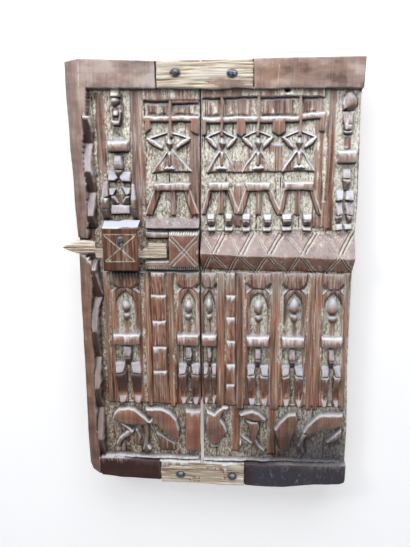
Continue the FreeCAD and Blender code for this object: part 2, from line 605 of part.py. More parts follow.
def drilled(name, wood, groups, only=None):
    """A piece less the holes of its nails; only picks one nail of each group."""
    holes = []
    for group in groups:
        for number, (x, z, face) in enumerate(NAIL_PLACES[group]):
            if only is None or number == only or len(NAIL_PLACES[group]) == 1:
                hole = round_bar(f"{name}_{group}_hole_{number}", "Sizes.nail_diameter / 2 + Sizes.nail_fit",
                                 x, z, f"{NAIL_TIP} - Sizes.nail_fit", f"{face} + Sizes.overrun")
                holes.append(hole)
    joined = doc.addObject("Part::Compound", f"{name}_nail_holes")
    joined.Links = holes
    result = doc.addObject("Part::Cut", name)
    result.Base = wood
    result.Tool = joined
    result.Label = name
    return result


def lock_room():
    """The room that the carving leaves round the lock body and the bolt's shank."""
    room = doc.addObject("Part::Box", "lock_room")
    room.setExpression("Length", "Sizes.lock_width + 2 * Sizes.lock_fit")
    room.setExpression("Width", "Sizes.lock_thickness + Sizes.overrun")
    room.setExpression("Height", "Sizes.lock_height + 2 * Sizes.lock_fit")
    room.setExpression(".Placement.Base.x", f"{LOCK_LEFT} - Sizes.lock_fit")
    room.setExpression(".Placement.Base.y", f"-({LOCK_FACE} + Sizes.overrun)")
    room.setExpression(".Placement.Base.z", f"{LOCK_FOOT} - Sizes.lock_fit")
    # the bolt's shank passes over the stile when the bolt is shot
    path = doc.addObject("Part::Box", "shank_path")
    path_left = f"{HEAD_END} - Sizes.bolt_travel - Sizes.bolt_notch_gap"
    path.setExpression("Length", f"{LOCK_LEFT} - ({path_left})")
    path.setExpression("Width", f"{LOCK_FACE} - Sizes.bolt_seat + Sizes.bolt_notch_gap")
    path.setExpression("Height", "Sizes.bolt_width + 2 * Sizes.bolt_notch_gap")
    path.setExpression(".Placement.Base.x", path_left)
    path.setExpression(".Placement.Base.y", f"-{LOCK_FACE}")
    path.setExpression(".Placement.Base.z", f"{BOLT_FOOT} - Sizes.bolt_notch_gap")
    rooms = doc.addObject("Part::Compound", "lock_rooms")
    rooms.Links = [room, path]
    return rooms


def plank(name, forms, groups, only, room=None):
    """A carved plank, all of one piece of wood, with its nail holes and what is cut away from it."""
    wood = doc.addObject("Part::MultiFuse", f"{name}_wood")
    wood.Shapes = forms
    if room is None:
        return drilled(name, wood, groups, only)
    cleared = doc.addObject("Part::Cut", f"{name}_cleared")
    cleared.Base = wood
    cleared.Tool = room
    return drilled(name, cleared, groups, only)


TOP_BATTEN_FOOT_SHARE = 0.9435
BOTTOM_BATTEN_FOOT_SHARE = -0.0120
# How far a batten's underside sags at its middle and right end, and its top edge at the right end
BATTEN_SAG_SHARES = (0.04, 0.06, 0.03)


def batten(which, middle_share, foot_share):
    """A hand-cut batten, seated across the seam."""
    name = f"{which}_batten"
    body = make_body(f"{name}_wood")
    middle = across(middle_share)
    left = f"{middle} - Sizes.{name}_length / 2"
    right = f"{middle} + Sizes.{name}_length / 2"
    foot = up(foot_share)
    head = f"{foot} + Sizes.{name}_width"
    sags = [f"Sizes.{name}_width * {share}" for share in BATTEN_SAG_SHARES]
    loop = [(left, foot), (middle, f"{foot} - {sags[0]}"), (right, f"{foot} - {sags[1]}"),
            (right, f"{head} - {sags[2]}"), (left, head)]
    sketch = sketch_loops(body, f"{name}_sketch", "XZ_Plane", [loop], "Sizes.ground_thickness")
    pad(body, f"{name}_pad", sketch, "Sizes.batten_thickness")
    return drilled(name, body, [f"{name}_nails"])


# Lock

SLOT_HALF = "(Sizes.tumbler_diameter / 2 + Sizes.tumbler_clearance)"
BOLT_MIDDLE = "(Sizes.bolt_seat + Sizes.bolt_thickness / 2)"


def tumbler_place(share):
    """Where a tumbler's middle stands across the door."""
    return f"{LOCK_LEFT} + Sizes.lock_width * {share}"


def lock_body():
    """The lock body: a block with a sloped top, a channel for the bolt and two tumbler slots."""
    body = make_body("lock_wood")
    back = "-Sizes.ground_thickness"
    face = f"-{LOCK_FACE}"
    profile = [(back, LOCK_FOOT), (back, LOCK_HEAD), (f"{face} + Sizes.lock_slope_depth", LOCK_HEAD),
               (face, f"{LOCK_HEAD} - Sizes.lock_slope_height"), (face, LOCK_FOOT)]
    side = sketch_loops(body, "lock_side_sketch", "YZ_Plane", [profile], LOCK_LEFT)
    pad(body, "lock_pad", side, "Sizes.lock_width")
    low = f"{BOLT_FOOT} - Sizes.bolt_clearance"
    high = f"{BOLT_HEAD} + Sizes.bolt_clearance"
    deep = "-(Sizes.bolt_seat + Sizes.bolt_thickness + Sizes.bolt_clearance)"
    open_back = f"{back} + Sizes.overrun"
    channel = [(open_back, low), (open_back, high), (deep, high), (deep, low)]
    channel_sketch = sketch_loops(body, "bolt_channel_sketch", "YZ_Plane", [channel],
                                  f"{LOCK_LEFT} - Sizes.overrun")
    pocket(body, "bolt_channel", channel_sketch, "Sizes.lock_width + 2 * Sizes.overrun")
    ceiling = f"{high} + Sizes.tumbler_length + Sizes.tumbler_lift"
    slots = []
    for share in TUMBLER_PLACE_SHARES:
        place = tumbler_place(share)
        slots.append(rectangle(f"{place} - {SLOT_HALF}", f"{place} + {SLOT_HALF}", BOLT_HEAD, ceiling))
    slot_sketch = sketch_loops(body, "tumbler_slot_sketch", "XZ_Plane", slots,
                               "Sizes.ground_thickness - Sizes.overrun")
    pocket(body, "tumbler_slots", slot_sketch,
           f"{BOLT_MIDDLE} + {SLOT_HALF} - Sizes.ground_thickness + Sizes.overrun")
    return drilled("lock_body", body, ["lock_nail"])


# The outline of the bolt's pointed head, as shares of its length from the tip and of its width
POINT_SHARES = ((0.00, 0.47), (0.13, 0.30), (0.28, 0.16), (0.47, 0.02), (0.68, 0.00), (1.00, 0.10))
POINT_TOP_SHARES = ((1.00, 0.87), (0.85, 0.94), (0.61, 1.00), (0.37, 0.92), (0.18, 0.73))


def bolt():
    """The bolt: a pointed head, a plain shank and a wide tail, notched for the tumblers."""
    body = make_body("bolt")

    def on_head(shares):
        return [(f"{BOLT_TIP} + Sizes.bolt_head_length * {along}",
                 f"{HEAD_FOOT} + Sizes.bolt_head_width * {width}") for along, width in shares]

    tail_start = f"{HEAD_END} + Sizes.bolt_shank_length"
    tail_head = f"{BOLT_FOOT} + Sizes.bolt_tail_width"
    loop = on_head(POINT_SHARES)
    loop += [(HEAD_END, BOLT_FOOT), (BOLT_END, BOLT_FOOT), (BOLT_END, tail_head), (tail_start, tail_head),
             (tail_start, BOLT_HEAD)]
    floor = f"{BOLT_HEAD} - Sizes.notch_depth"
    for share in reversed(TUMBLER_PLACE_SHARES):
        left = f"{tumbler_place(share)} + Sizes.bolt_travel - {SLOT_HALF}"
        right = f"{tumbler_place(share)} + Sizes.bolt_travel + {SLOT_HALF}"
        loop += [(right, BOLT_HEAD), (right, floor), (left, floor), (left, BOLT_HEAD)]
    loop += [(HEAD_END, BOLT_HEAD)] + on_head(POINT_TOP_SHARES)
    sketch = sketch_loops(body, "bolt_sketch", "XZ_Plane", [loop], "Sizes.bolt_seat")
    pad(body, "bolt_pad", sketch, "Sizes.bolt_thickness")
    return body


def tumbler(number, share):
    """An iron tumbler that stands on the bolt in its slot."""
    pin = doc.addObject("Part::Cylinder", f"tumbler_{number}")
    pin.setExpression("Radius", "Sizes.tumbler_diameter / 2")
    pin.setExpression("Height", "Sizes.tumbler_length")
    pin.setExpression(".Placement.Base.x", tumbler_place(share))
    pin.setExpression(".Placement.Base.y", f"-{BOLT_MIDDLE}")
    pin.setExpression(".Placement.Base.z", f"{BOLT_HEAD} + Sizes.tumbler_seat_gap")
    pin.Label = f"tumbler_{number}"
    return pin


BATTEN_NAILS = ["top_batten_nails", "bottom_batten_nails"]
PIECES = [
    plank("left_plank", [left_board(), saw_bar()] + carve_left(), BATTEN_NAILS + ["lock_nail"], 0,
          lock_room()),
    plank("right_plank", [right_board(), ridge()] + carve_right(), BATTEN_NAILS, 1),
    batten("top", TOP_BATTEN_MIDDLE_SHARE, TOP_BATTEN_FOOT_SHARE),
    batten("bottom", BOTTOM_BATTEN_MIDDLE_SHARE, BOTTOM_BATTEN_FOOT_SHARE),
    lock_body(),
    bolt(),
]
PIECES += [tumbler(number, share) for number, share in enumerate(TUMBLER_PLACE_SHARES, start=1)]
PIECES += [nails(group) for group in NAIL_PLACES]

doc.recompute()

# Every object and shape is sound before anything is written
for item in doc.Objects:
    faults = [state for state in item.State if state in ("Invalid", "Error")]
    if faults:
        raise RuntimeError(f"{item.Name} is {faults}")

for piece in PIECES:
    shape = piece.Shape
    if shape.isNull() or not shape.isValid():
        raise RuntimeError(f"{piece.Label} has no sound shape")
    box = shape.BoundBox
    print(f"{piece.Label}: {len(shape.Solids)} solids, volume {shape.Volume:.0f}, "
          f"X {box.XMin:.1f} {box.XMax:.1f}, Y {box.YMin:.1f} {box.YMax:.1f}, Z {box.ZMin:.1f} {box.ZMax:.1f}")

os.makedirs("parts", exist_ok=True)
for piece in PIECES:
    piece.Shape.exportStep(f"parts/{piece.Label}.step")
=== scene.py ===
"""The looks of a carved granary door: two planks, two nailed battens and a wooden bolt lock.

The relief is carved into one height lattice over the whole door. Heights, widths and depths are
millimetres, and places are thousandths of the door's width from its left edge and of its height
from its foot. Each plank is then a mesh fitted to its own outline that takes its front from the
lattice. X is to the right, Z up, and the carved front faces -Y.
"""

import math

import bmesh
import bpy
import numpy as np
from mathutils import Matrix, Vector


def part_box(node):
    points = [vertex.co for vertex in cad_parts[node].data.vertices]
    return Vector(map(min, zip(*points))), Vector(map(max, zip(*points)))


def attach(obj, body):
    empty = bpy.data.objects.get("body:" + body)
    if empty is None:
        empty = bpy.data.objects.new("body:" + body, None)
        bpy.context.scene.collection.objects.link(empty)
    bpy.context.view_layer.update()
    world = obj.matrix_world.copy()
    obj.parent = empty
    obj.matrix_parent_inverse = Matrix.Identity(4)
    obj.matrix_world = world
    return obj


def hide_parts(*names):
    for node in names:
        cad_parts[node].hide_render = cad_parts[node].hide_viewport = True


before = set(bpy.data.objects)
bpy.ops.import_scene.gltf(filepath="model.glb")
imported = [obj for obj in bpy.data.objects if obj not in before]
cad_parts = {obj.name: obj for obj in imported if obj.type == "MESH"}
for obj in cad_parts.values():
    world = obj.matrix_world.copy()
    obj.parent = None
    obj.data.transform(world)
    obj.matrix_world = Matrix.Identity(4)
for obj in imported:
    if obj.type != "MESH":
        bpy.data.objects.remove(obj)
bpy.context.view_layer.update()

# Sizes, in millimetres
MM = 1000.0


def box_mm(node):
    """The lowest and highest corner of a CAD node, in millimetres."""
    low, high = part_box(node)
    return [value * MM for value in low], [value * MM for value in high]


LEFT_LOW, LEFT_HIGH = box_mm("left_plank")
RIGHT_LOW, RIGHT_HIGH = box_mm("right_plank")
LOCK_LOW, LOCK_HIGH = box_mm("lock_body")
BOLT_LOW, BOLT_HIGH = box_mm("bolt")
DOOR_WIDTH = RIGHT_HIGH[0] - LEFT_LOW[0]
DOOR_HEIGHT = 2 * LEFT_HIGH[2]
GROUND = -LOCK_HIGH[1]
PANEL = -LEFT_LOW[1]
RIDGE = -RIGHT_LOW[1]
# Heights over the back: the boards, the figures, the ribs, the fields and where carved forms start
FRAME, RELIEF, RIB, FIELD = 36.0, 34.0, 27.0, 25.0
ROOT = GROUND - 4.0
STILE_EDGE = 27.0
SAW_HIGH, SAW_DEEP = 41.0, 23.0
PILLOW_WIDTH = 9.0
# How bare of crust a planed board is, where a carved form has 1
PLANED = 1.6
BOLT_CLEARANCE, PIN_GAP, PIN_LIFT = 0.4, 0.5, 7.4
NOTCH_DEPTH = 5.0
BOLT_WIDTH, BOLT_TRAVEL = 16.0, 18.0
HEAD_LENGTH, SHANK_LENGTH = 58.0, 93.0
HEAD_WIDTH, TAIL_WIDTH = 25.0, 26.0
BOLT_FOOT = BOLT_LOW[2]
BOLT_HEAD = BOLT_FOOT + BOLT_WIDTH
HEAD_END = BOLT_LOW[0] + HEAD_LENGTH
HEAD_FOOT = BOLT_HIGH[2] - HEAD_WIDTH

STEP = 0.5
MESH_STEP = 0.9
MOST_TRIANGLES = 190000
# Places are given in this many parts of the door's width and height
PARTS = 1000


def X(place):
    """Millimetres across from the door's middle."""
    return (place / PARTS - 0.5) * DOOR_WIDTH


def Z(place):
    """Millimetres up from the door's middle."""
    return (place / PARTS - 0.5) * DOOR_HEIGHT


def unit(values):
    """The same values, kept between 0 and 1."""
    return np.clip(values, 0, 1)


# The lattice
MARGIN = 8.0
lattice_x = np.arange(LEFT_LOW[0] - MARGIN, RIGHT_HIGH[0] + MARGIN, STEP, dtype=np.float32)
lattice_z = np.arange(RIGHT_LOW[2] - MARGIN, LEFT_HIGH[2] + MARGIN, STEP, dtype=np.float32)
SHAPE = (len(lattice_z), len(lattice_x))
GRID_X, GRID_Z = np.meshgrid(lattice_x, lattice_z)
height = np.full(SHAPE, GROUND, np.float32)
# how bare, red, chalky, sooty or painted in shade, dark (partly painted shade), free of the painted
# highlight, dust and shade of slopes, slate grey and planed each cell is, and where the saw bar lies
bare, warm, chalk, soot, gloom, calm, slate, planed, saw = np.zeros((9,) + SHAPE, np.float32)
share_x = GRID_X / DOOR_WIDTH + 0.5
share_z = GRID_Z / DOOR_HEIGHT + 0.5
# pale: how pale the wood is, partly painted light: it rises towards the head and the right, lightening wood
# and crust, brightening the painted highlights and fading the painted shade
pale = unit(0.22 + 0.42 * share_x + 0.5 * share_z).astype(np.float32)
FREQUENCY_X = np.fft.rfftfreq(SHAPE[1], STEP)[None, :].astype(np.float32)
FREQUENCY_Z = np.fft.fftfreq(SHAPE[0], STEP)[:, None].astype(np.float32)


def bell(size_x, size_z):
    """The transfer of a Gaussian blur of that spread across and up."""
    return np.exp(-2 * math.pi ** 2 * ((FREQUENCY_X * size_x) ** 2 + (FREQUENCY_Z * size_z) ** 2))


def blur(field, size):
    """A Gaussian blur."""
    return np.fft.irfft2(np.fft.rfft2(field) * bell(size, size), s=SHAPE).astype(np.float32)


def noise(seed, size_x, size_z=None):
    """Smooth seeded noise with a spread of 1; a size is the width of its features."""
    raw = np.random.default_rng(seed).standard_normal(SHAPE)
    field = np.fft.irfft2(np.fft.rfft2(raw) * bell(size_x / 2, (size_z or size_x) / 2), s=SHAPE)
    return (field / field.std()).astype(np.float32)


def step_up(field, low, high):
    """A smooth step from 0 at low to 1 at high."""
    t = unit((field - low) / (high - low))
    return t * t * (3 - 2 * t)


def sample(field, x, z):
    """A lattice field at any places, by bilinear interpolation."""
    i = np.clip((x - lattice_x[0]) / STEP, 0, SHAPE[1] - 1.001)
    k = np.clip((z - lattice_z[0]) / STEP, 0, SHAPE[0] - 1.001)
    i0 = i.astype(int)
    k0 = k.astype(int)
    fi = i - i0
    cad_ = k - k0
    low = field[k0, i0] * (1 - fi) + field[k0, i0 + 1] * fi
    high = field[k0 + 1, i0] * (1 - fi) + field[k0 + 1, i0 + 1] * fi
    return low * (1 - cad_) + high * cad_


def window(x0, x1, z0, z1):
    """The lattice cells in a box, with their places."""
    i0, i1 = np.searchsorted(lattice_x, (x0, x1))
    k0, k1 = np.searchsorted(lattice_z, (z0, z1))
    cells = (slice(k0, k1), slice(i0, i1))
    return cells, GRID_X[cells], GRID_Z[cells]


def lift(cells, form):
    """Raises the lattice to a form where it stands higher, and bares its wood."""
    bare[cells] = np.where(form > height[cells] + 0.5, 1.0, bare[cells])
    height[cells] = np.maximum(height[cells], form)


def front_of(full, rise):
    """How high a form stands that rises by a share of a full relief."""
    return GROUND + (full - GROUND) * rise


# Carving tools


def placed(points):
    """Points in millimetres; four plain numbers are an upright box's left, right, low and high."""
    if not hasattr(points[0], "__len__"):
        left, right, low, high = points
        points = [(left, high), (right, high), (right, low), (left, low)]
    return np.array([(X(x), Z(z)) for x, z in points], np.float32)


def distances(points, x, z, closed):
    """The distance to a line through points, and whether each place lies inside it."""
    nearest = np.full(x.shape, 1e9, np.float32)
    inside = np.zeros(x.shape, bool)
    count = len(points)
    for i in range(count if closed else count - 1):
        ax, az = points[i]
        bx, bz = points[(i + 1) % count]
        dx, dz = bx - ax, bz - az
        t = unit(((x - ax) * dx + (z - az) * dz) / max(dx * dx + dz * dz, 1e-9))
        nearest = np.minimum(nearest, (x - ax - t * dx) ** 2 + (z - az - t * dz) ** 2)
        if closed and az != bz:
            crossing = (az > z) != (bz > z)
            inside ^= crossing & (x < dx * (z - az) / dz + ax)
    return np.sqrt(nearest), inside


def near_shape(points, reach, closed=True):
    """The cells near a shape, their distance to its line and whether they lie inside."""
    corners = placed(points)
    low, high = corners.min(0) - reach, corners.max(0) + reach
    cells, x, z = window(low[0], high[0], low[1], high[1])
    return (cells,) + distances(corners, x, z, closed)


def raise_form(cells, full, rise, share, inside=True):
    """Raises a form from its root towards a share of a full relief."""
    lift(cells, np.where(inside, ROOT + (front_of(full, rise) - ROOT) * share, 0))


def block(left, right, low, high, rise, top, foot, side, full=RELIEF):
    """A block with sloped faces; each slope is a share of its width or height."""
    x0, x1, z0, z1 = X(left), X(right), Z(low), Z(high)
    cells, x, z = window(x0, x1, z0, z1)
    least = 0.6
    across = np.minimum(x - x0, x1 - x) / max(side * (x1 - x0), least)
    up = np.minimum((z1 - z) / max(top * (z1 - z0), least), (z - z0) / max(foot * (z1 - z0), least))
    raise_form(cells, full, rise, unit(np.minimum(across, up)))


def facet(points, low, high, bevel=0.8, full=RELIEF):
    """One flat slope: it stands by one share at its foot and by another at its head."""
    cells, distance, inside = near_shape(points, 1.0)
    z, ends = GRID_Z[cells], placed(points)[:, 1]
    rise = low + (high - low) * unit((z - ends.min()) / (ends.max() - ends.min()))
    raise_form(cells, full, rise, unit(distance / bevel), inside)


def dome(middle, level, half_width, up_size, down_size, rise):
    """A rounded head of one size above its middle and another below it."""
    x0, z0 = X(middle), Z(level)
    rx = half_width * DOOR_WIDTH / PARTS
    up, down = up_size * DOOR_HEIGHT / PARTS, down_size * DOOR_HEIGHT / PARTS
    cells, x, z = window(x0 - rx, x0 + rx, z0 - down, z0 + up)
    dz = np.where(z > z0, (z - z0) / up, (z - z0) / down)
    raise_form(cells, RELIEF, rise, np.sqrt(unit(1 - ((x - x0) / rx) ** 2 - dz ** 2)))


def outline(points, rise, bevel, pillow=0.0, full=RELIEF):
    """A raised form with a free outline, a bevelled edge and a pillowed top."""
    cells, distance, inside = near_shape(points, 1.0)
    crown = 1 - pillow * (1 - unit(distance / PILLOW_WIDTH)) ** 2
    raise_form(cells, full, rise, unit(distance / bevel) * crown, inside)


def band(points, width, rise, bevel, full=RELIEF):
    """A raised band along a line."""
    cells, distance, _ = near_shape(points, width, False)
    share = unit((width / 2 - distance) / bevel)
    raise_form(cells, full, rise, share, share > 0)


def groove(points, width=1.8, depth=1.0, filled=0.8, dark=0.0):
    """An incised line, partly filled with pale crust; a dark one has a painted shade line in it, and its
    crust beside it.
    """
    cells, distance, _ = near_shape(points, 2 * width, False)
    share = unit(1 - 2 * distance / width)
    height[cells] -= depth * share
    if dark:
        # a painted shade line in the groove
        line = unit(share * 1.8)
        soot[cells] = np.maximum(soot[cells], dark * line)
        chalk[cells] *= 1 - 0.8 * line
        beside = placed(points) + np.float32((0.9 * width, 0))
        distance, _ = distances(beside, GRID_X[cells], GRID_Z[cells], False)
        share = unit(1 - 2 * distance / width)
    chalk[cells] = np.maximum(chalk[cells], filled * unit(share * 1.6))


def double_groove(points, gap, **kind):
    """Two parallel incised lines, a gap apart across the door."""
    for shift in (-gap / 2, gap / 2):
        groove([(x + shift, z) for x, z in points], **kind)


def soft_area(points, soft):
    """The cells near an area, and a smooth cover that is 1 inside it and 0 outside."""
    cells, distance, inside = near_shape(points, soft)
    return cells, step_up(np.where(inside, distance, -distance), -soft / 2, soft / 2)


def field(points, level, share, soft):
    """A low area of bare wood with soft edges."""
    cells, cover = soft_area(points, soft)
    height[cells] = np.maximum(height[cells], GROUND + (level - GROUND) * cover)
    bare[cells] = np.maximum(bare[cells], share * cover)


def recess(points, depth=None, soft=1.6, left_bare=0.0):
    """Cuts an area down, to the ground unless a depth is given."""
    cells, distance, inside = near_shape(points, 1.0)
    cover = np.where(inside, unit(distance / soft), 0)
    floor = np.minimum(height[cells], GROUND) if depth is None else height[cells] - depth
    height[cells] += (floor - height[cells]) * cover
    bare[cells] += (left_bare - bare[cells]) * cover


def mark(marks, points, share, soft, highest=99.0):
    """Marks an area of a map, as far as it stands no higher than that."""
    cells, cover = soft_area(points, soft)
    marks[cells] = np.maximum(marks[cells], share * cover * (height[cells] < highest))


def heat(points, share, soft=6.0):
    """Marks an area whose wood is redder."""
    mark(warm, points, share, soft)


def pit(middle, level, radius, depth, dark, stretch):
    """A small hole, stretched across."""
    x0, z0 = X(middle), Z(level)
    cells, x, z = window(x0 - radius * stretch, x0 + radius * stretch, z0 - radius, z0 + radius)
    reach = np.hypot((x - x0) / stretch, z - z0) / radius
    share = unit(1.4 * (1 - reach))
    height[cells] -= depth * share
    soot[cells] = np.maximum(soot[cells], dark * share)


def ticks(left, right, level, count, length, width=1.3, depth=0.9, filled=0.9):
    """A row of short upright cuts."""
    for x in np.linspace(left, right, count):
        groove([(x, level - length / 2), (x, level + length / 2)], width, depth, filled)


# Motifs


def niche_figure(middle, width, niche, head, crown, round_arch=False):
    """An ancestor in a pointed niche above a seated second figure, all in one column."""
    half = width / 2

    def at(points):
        return [(middle + x * half, z) for x, z in points]

    # the headdress over the niche, its lower corners cut away beside the arch
    outline(at([(-1, 533), (1, 533), (1.02, 509), (0.45, 494), (-0.45, 494), (-1.02, 509)]), 1.5, 1.2,
            full=FIELD)
    for sign in (-1, 1):
        recess(at([(sign * 1.08, 508), (sign * 0.6, 494), (sign * 1.06, 482)]), 3.0, 1.2)
    for x in np.linspace(-0.88, 0.88, 9 if width > 70 else 5):
        groove(at([(x, 532), (x * 0.97, 515)]), 1.2, 0.8, 0.75)
    groove(at([(0, 514), (0, 498)]), 1.4, 0.9, 0.6)
    # the niche, an incised line that follows it, and its crusted ground
    arch = [(1.0, 379), (1.0, 458), (0.84, 468), (0.48, 478), (0.0, 488)]
    if round_arch:
        arch = [(1.0, 379), (1.0, 450), (0.9, 466), (0.58, 479), (0.0, 484)]
    for sign in (-1, 1):
        groove([(middle + sign * (x * niche + 10 * (x > 0)), z + 10 * (z > 460))
                for x, z in arch[1:]], 1.7, 1.6, 0.0)
    opening = [(middle + x * niche, z) for x, z in arch + [(-x, z) for x, z in reversed(arch)]]
    recess(opening)
    # a painted shade line along each side of the niche's rim, with no cut
    for sign in (-1, 1):
        rim = [(middle + sign * x * niche, z) for x, z in arch[1:]]
        groove(rim, 3.0, 0.0, 0.0, 0.85)
    # the ancestor: a ball head, a hanging jaw and a thin neck
    dome(middle, 446, 1.08 * head, crown, 15, 1.0)
    dome(middle, 424, 0.92 * head, 11, 13, 0.76)
    band([(middle, 424), (middle, 378)], 1.1 * head * DOOR_WIDTH / PARTS, 0.36, 1.5)
    mark(chalk, opening, 0.5, 3.0, GROUND + 1.5)
    block(middle - half, middle + half, 353, 380.5, 1.0, 0.1, 0.05, 0.03)
    heat((middle - half, middle + half, 353, 376), 0.7, 1.5)
    mark(calm, (middle - half, middle + half, 353, 374), 0.5, 1.5)
    # the seated figure under the bar
    recess(at([(-0.92, 354), (0.92, 354), (0.94, 300), (-0.94, 300)]))
    recess(at([(-0.24, 305), (0.2, 305), (0.3, 199), (-0.16, 199)]))
    facet(at([(-0.27, 347), (0.27, 347), (0.29, 321), (-0.29, 321)]), 1.0, 0.4)
    lap = at([(-0.29, 321.5), (0.29, 321.5), (0.19, 299), (-0.19, 299)])
    facet(lap, 0.3, 1.0)
    facet(at([(-0.96, 305), (-0.18, 305), (-0.3, 281), (-0.9, 278)]), 1.05, 0.15)
    facet(at([(0.16, 303), (0.98, 306), (0.96, 278), (0.34, 280)]), 1.05, 0.15)
    shins = (at([(-0.94, 278.5), (-0.22, 281.5), (-0.12, 226), (-0.8, 226)]),
             at([(0.2, 280.5), (0.97, 278.5), (0.92, 224), (0.26, 226)]))
    # painted shade on the down-facing shins and lap, weaker towards the right
    for points in shins:
        facet(points, 0.3, 1.05)
        mark(gloom, points, 0.85 if middle < 300 else 0.6 if middle < 500 else 0.38, 1.5)
        heat(points, 0.8, 1.5)
    mark(gloom, lap, 0.6, 1.5)
    facet(at([(-0.84, 223), (-0.14, 223), (-0.28, 202), (-0.68, 200)]), 0.95, 0.2)
    facet(at([(0.26, 223), (0.95, 223), (0.78, 199), (0.42, 201)]), 0.95, 0.2)


def dancer(middle, left_reach, right_reach, pale_hem=2.2, lean=0.0):
    """A masked dancer under a cross-barred headdress, with bent arms and a flared skirt."""
    left, right = middle - 0.94 * left_reach, middle + 0.94 * right_reach
    staff, middle = middle, middle + lean
    skirt = [(middle, 822), (right, 762.5), (left, 762.5)]
    facet(skirt, 0.38, 0.05, 1.2)
    recess(skirt, 0.0, 2.0, 0.42)
    band([(middle - 10, 806), (left + 3, 763.5)], pale_hem * 1.6, 0.46, 1.2)
    band([(middle + 12, 806), (right - 3, 763.5)], pale_hem, 0.44, 1.0)
    for side, reach in ((-1, left_reach), (1, right_reach)):
        # a bent arm: a thin upper arm down to the elbow, and a broad lower arm back to the waist
        elbow = middle + side * 0.97 * reach
        wrist = middle + side * 0.3 * reach
        band([(middle + side * 0.1 * reach, 849.5), (elbow, 836)], 4.4, 0.38, 1.5)
        facet([(elbow, 840.5), (middle + side * 0.62 * reach, 833.5), (wrist, 820.5), (wrist, 810.5),
               (middle + side * 0.7 * reach, 820.5), (elbow, 830.5)], 0.75, 0.45, 1.3)
    block(staff - 6.6, staff + 6.6, 838, 942, 0.66, 0.02, 0.02, 0.2)
    heat((staff - 6, staff + 6, 838, 942), 0.6, 2.0)
    outline([(middle, 849), (middle + 16.5, 825), (middle, 799), (middle - 16.5, 827)], 1.0, 7.0)
    block(middle - 7.5, middle + 7.5, 776, 806, 0.62, 0.02, 0.02, 0.3)
    heat((middle - 7, middle + 7, 776, 845), 0.6, 2.0)
    outline([(middle - 26, 770), (middle - 8, 779), (middle, 776), (middle + 8, 779), (middle + 26, 770),
             (middle + 12, 765), (middle - 12, 765)], 0.75, 2.4)


def bar(left, right, low, high, tilt=0.0):
    """One bar of a headdress: a flat face under a pale edge."""
    bottom = low + (high - low) * 0.15
    facet([(left, high), (right, high + tilt), (right, low + tilt), (left, low)], 0.63, 0.56, 1.0)
    heat((left, right, bottom, high), 0.6)
    mark(calm, (left, right, low, high), 0.45, 1.5)


def drop(left, right, low, slant):
    """A pendant under a bar, cut off at a slant."""
    outline([(left, 882), (right, 882), (right, low + max(-slant, 0)), (left, low + max(slant, 0))], 0.6, 1.2)
    heat((left, right, low, 882), 0.8)


def stool(seat, legs, feet, middle_leg):
    """A carved stool: a seat on two splayed legs and a straight one."""
    left, right = seat
    for (top_in, top_out), (foot_in, foot_out) in zip(legs, feet):
        leg = [(top_out, 726), (top_in, 726), (foot_in, 666.5), (foot_out, 667.5)]
        outline(leg, 0.46, 1.1)
        groove([(top_in, 722), (foot_in, 667)], 1.6, 1.6, 0.0)
        groove([(top_out, 722), (foot_out, 668)], 1.6, 0.3, 0.8)
        heat(leg, 0.5)
    block(middle_leg - 9.5, middle_leg + 9.5, 666, 726, 0.46, 0.02, 0.03, 0.12)
    block(left, right, 721.5, 741, 0.66, 0.18, 0.06, 0.02)
    heat((left, right, 721.5, 737.5), 0.6, 2.0)
    mark(calm, (left, right, 721.5, 740), 0.6, 1.5)


def notched_post(left, right, steps):
    """A post with a thin bright ledge at the head of each step."""
    for high, low in zip(steps, steps[1:]):
        facet((left, right, low, high), 0.42, 0.74, 0.7)


def strips(table, level, share, soft):
    """Flat upright ribs with soft edges: left, right, low, high."""
    for left, right, low, high in table:
        field((left, right, low, high), level, share, soft)


def gaps(*table):
    """Narrow crusted gaps between the lower ribs."""
    for left, right in table:
        recess((left, right, 199, 531), 2.4, 2.0, 0.15)


def ridge_line(x):
    """The ridge's head, crest and foot at a place across the door, in millimetres up."""
    ends = (X(458.5), X(984))
    return [np.interp(x, ends, (Z(a), Z(b))) for a, b in ((630.5, 631.5), (581, 571), (533.5, 527))]


# Each turn of the upper zigzag: the foot of its rising lines, their head, and the head of the falling lines
UPPER_TURNS = ((500, 530, 458), (594, 633, 555), (696, 733, 655), (813, 853, 761), (944, 982, 895))
# Each turn of the lower zigzag: its head, and the feet of its two lines
LOWER_TURNS = ((493, 460, 555), (589, 555, 657), (694, 653, 758), (805, 769, 865), (944, 901, 1000))


def ridge():
    """The cross ridge with its bands of incised zigzags."""
    cells, x, z = window(X(440), X(1000), Z(520), Z(640))
    head, crest, foot = ridge_line(x)
    share = np.minimum((head - z) / (head - crest), (z - foot) / (crest - foot))
    lift(cells, ROOT + (RIDGE - ROOT) * unit(share) ** 0.93)
    heat([(455, 580), (1000, 572), (1000, 527), (455, 533)], 1.0, 2.0)
    mark(calm, [(440, 632.5), (1000, 633.5), (1000, 525), (440, 531)], 1.0, 2.0)
    # the dark grooves hold painted shade lines, with pale crust beside them
    for rise_foot, rise_head, fall_head in UPPER_TURNS:
        double_groove([(rise_foot + 4, 583), (rise_head + 6, 624)], 14, width=2.3, depth=2.0, filled=0.85,
                      dark=0.75)
        double_groove([(rise_foot - 6, 585), (fall_head + 3, 617)], 7, width=1.5, depth=1.0, filled=0.75,
                      dark=0.35)
    for peak, *feet in LOWER_TURNS:
        for side, side_foot in zip((-1, 1), feet):
            double_groove([(peak + 7 * side, 573 - side), (side_foot, 532 - side)], 10, width=2.2, depth=1.9,
                          filled=0.6, dark=0.8)


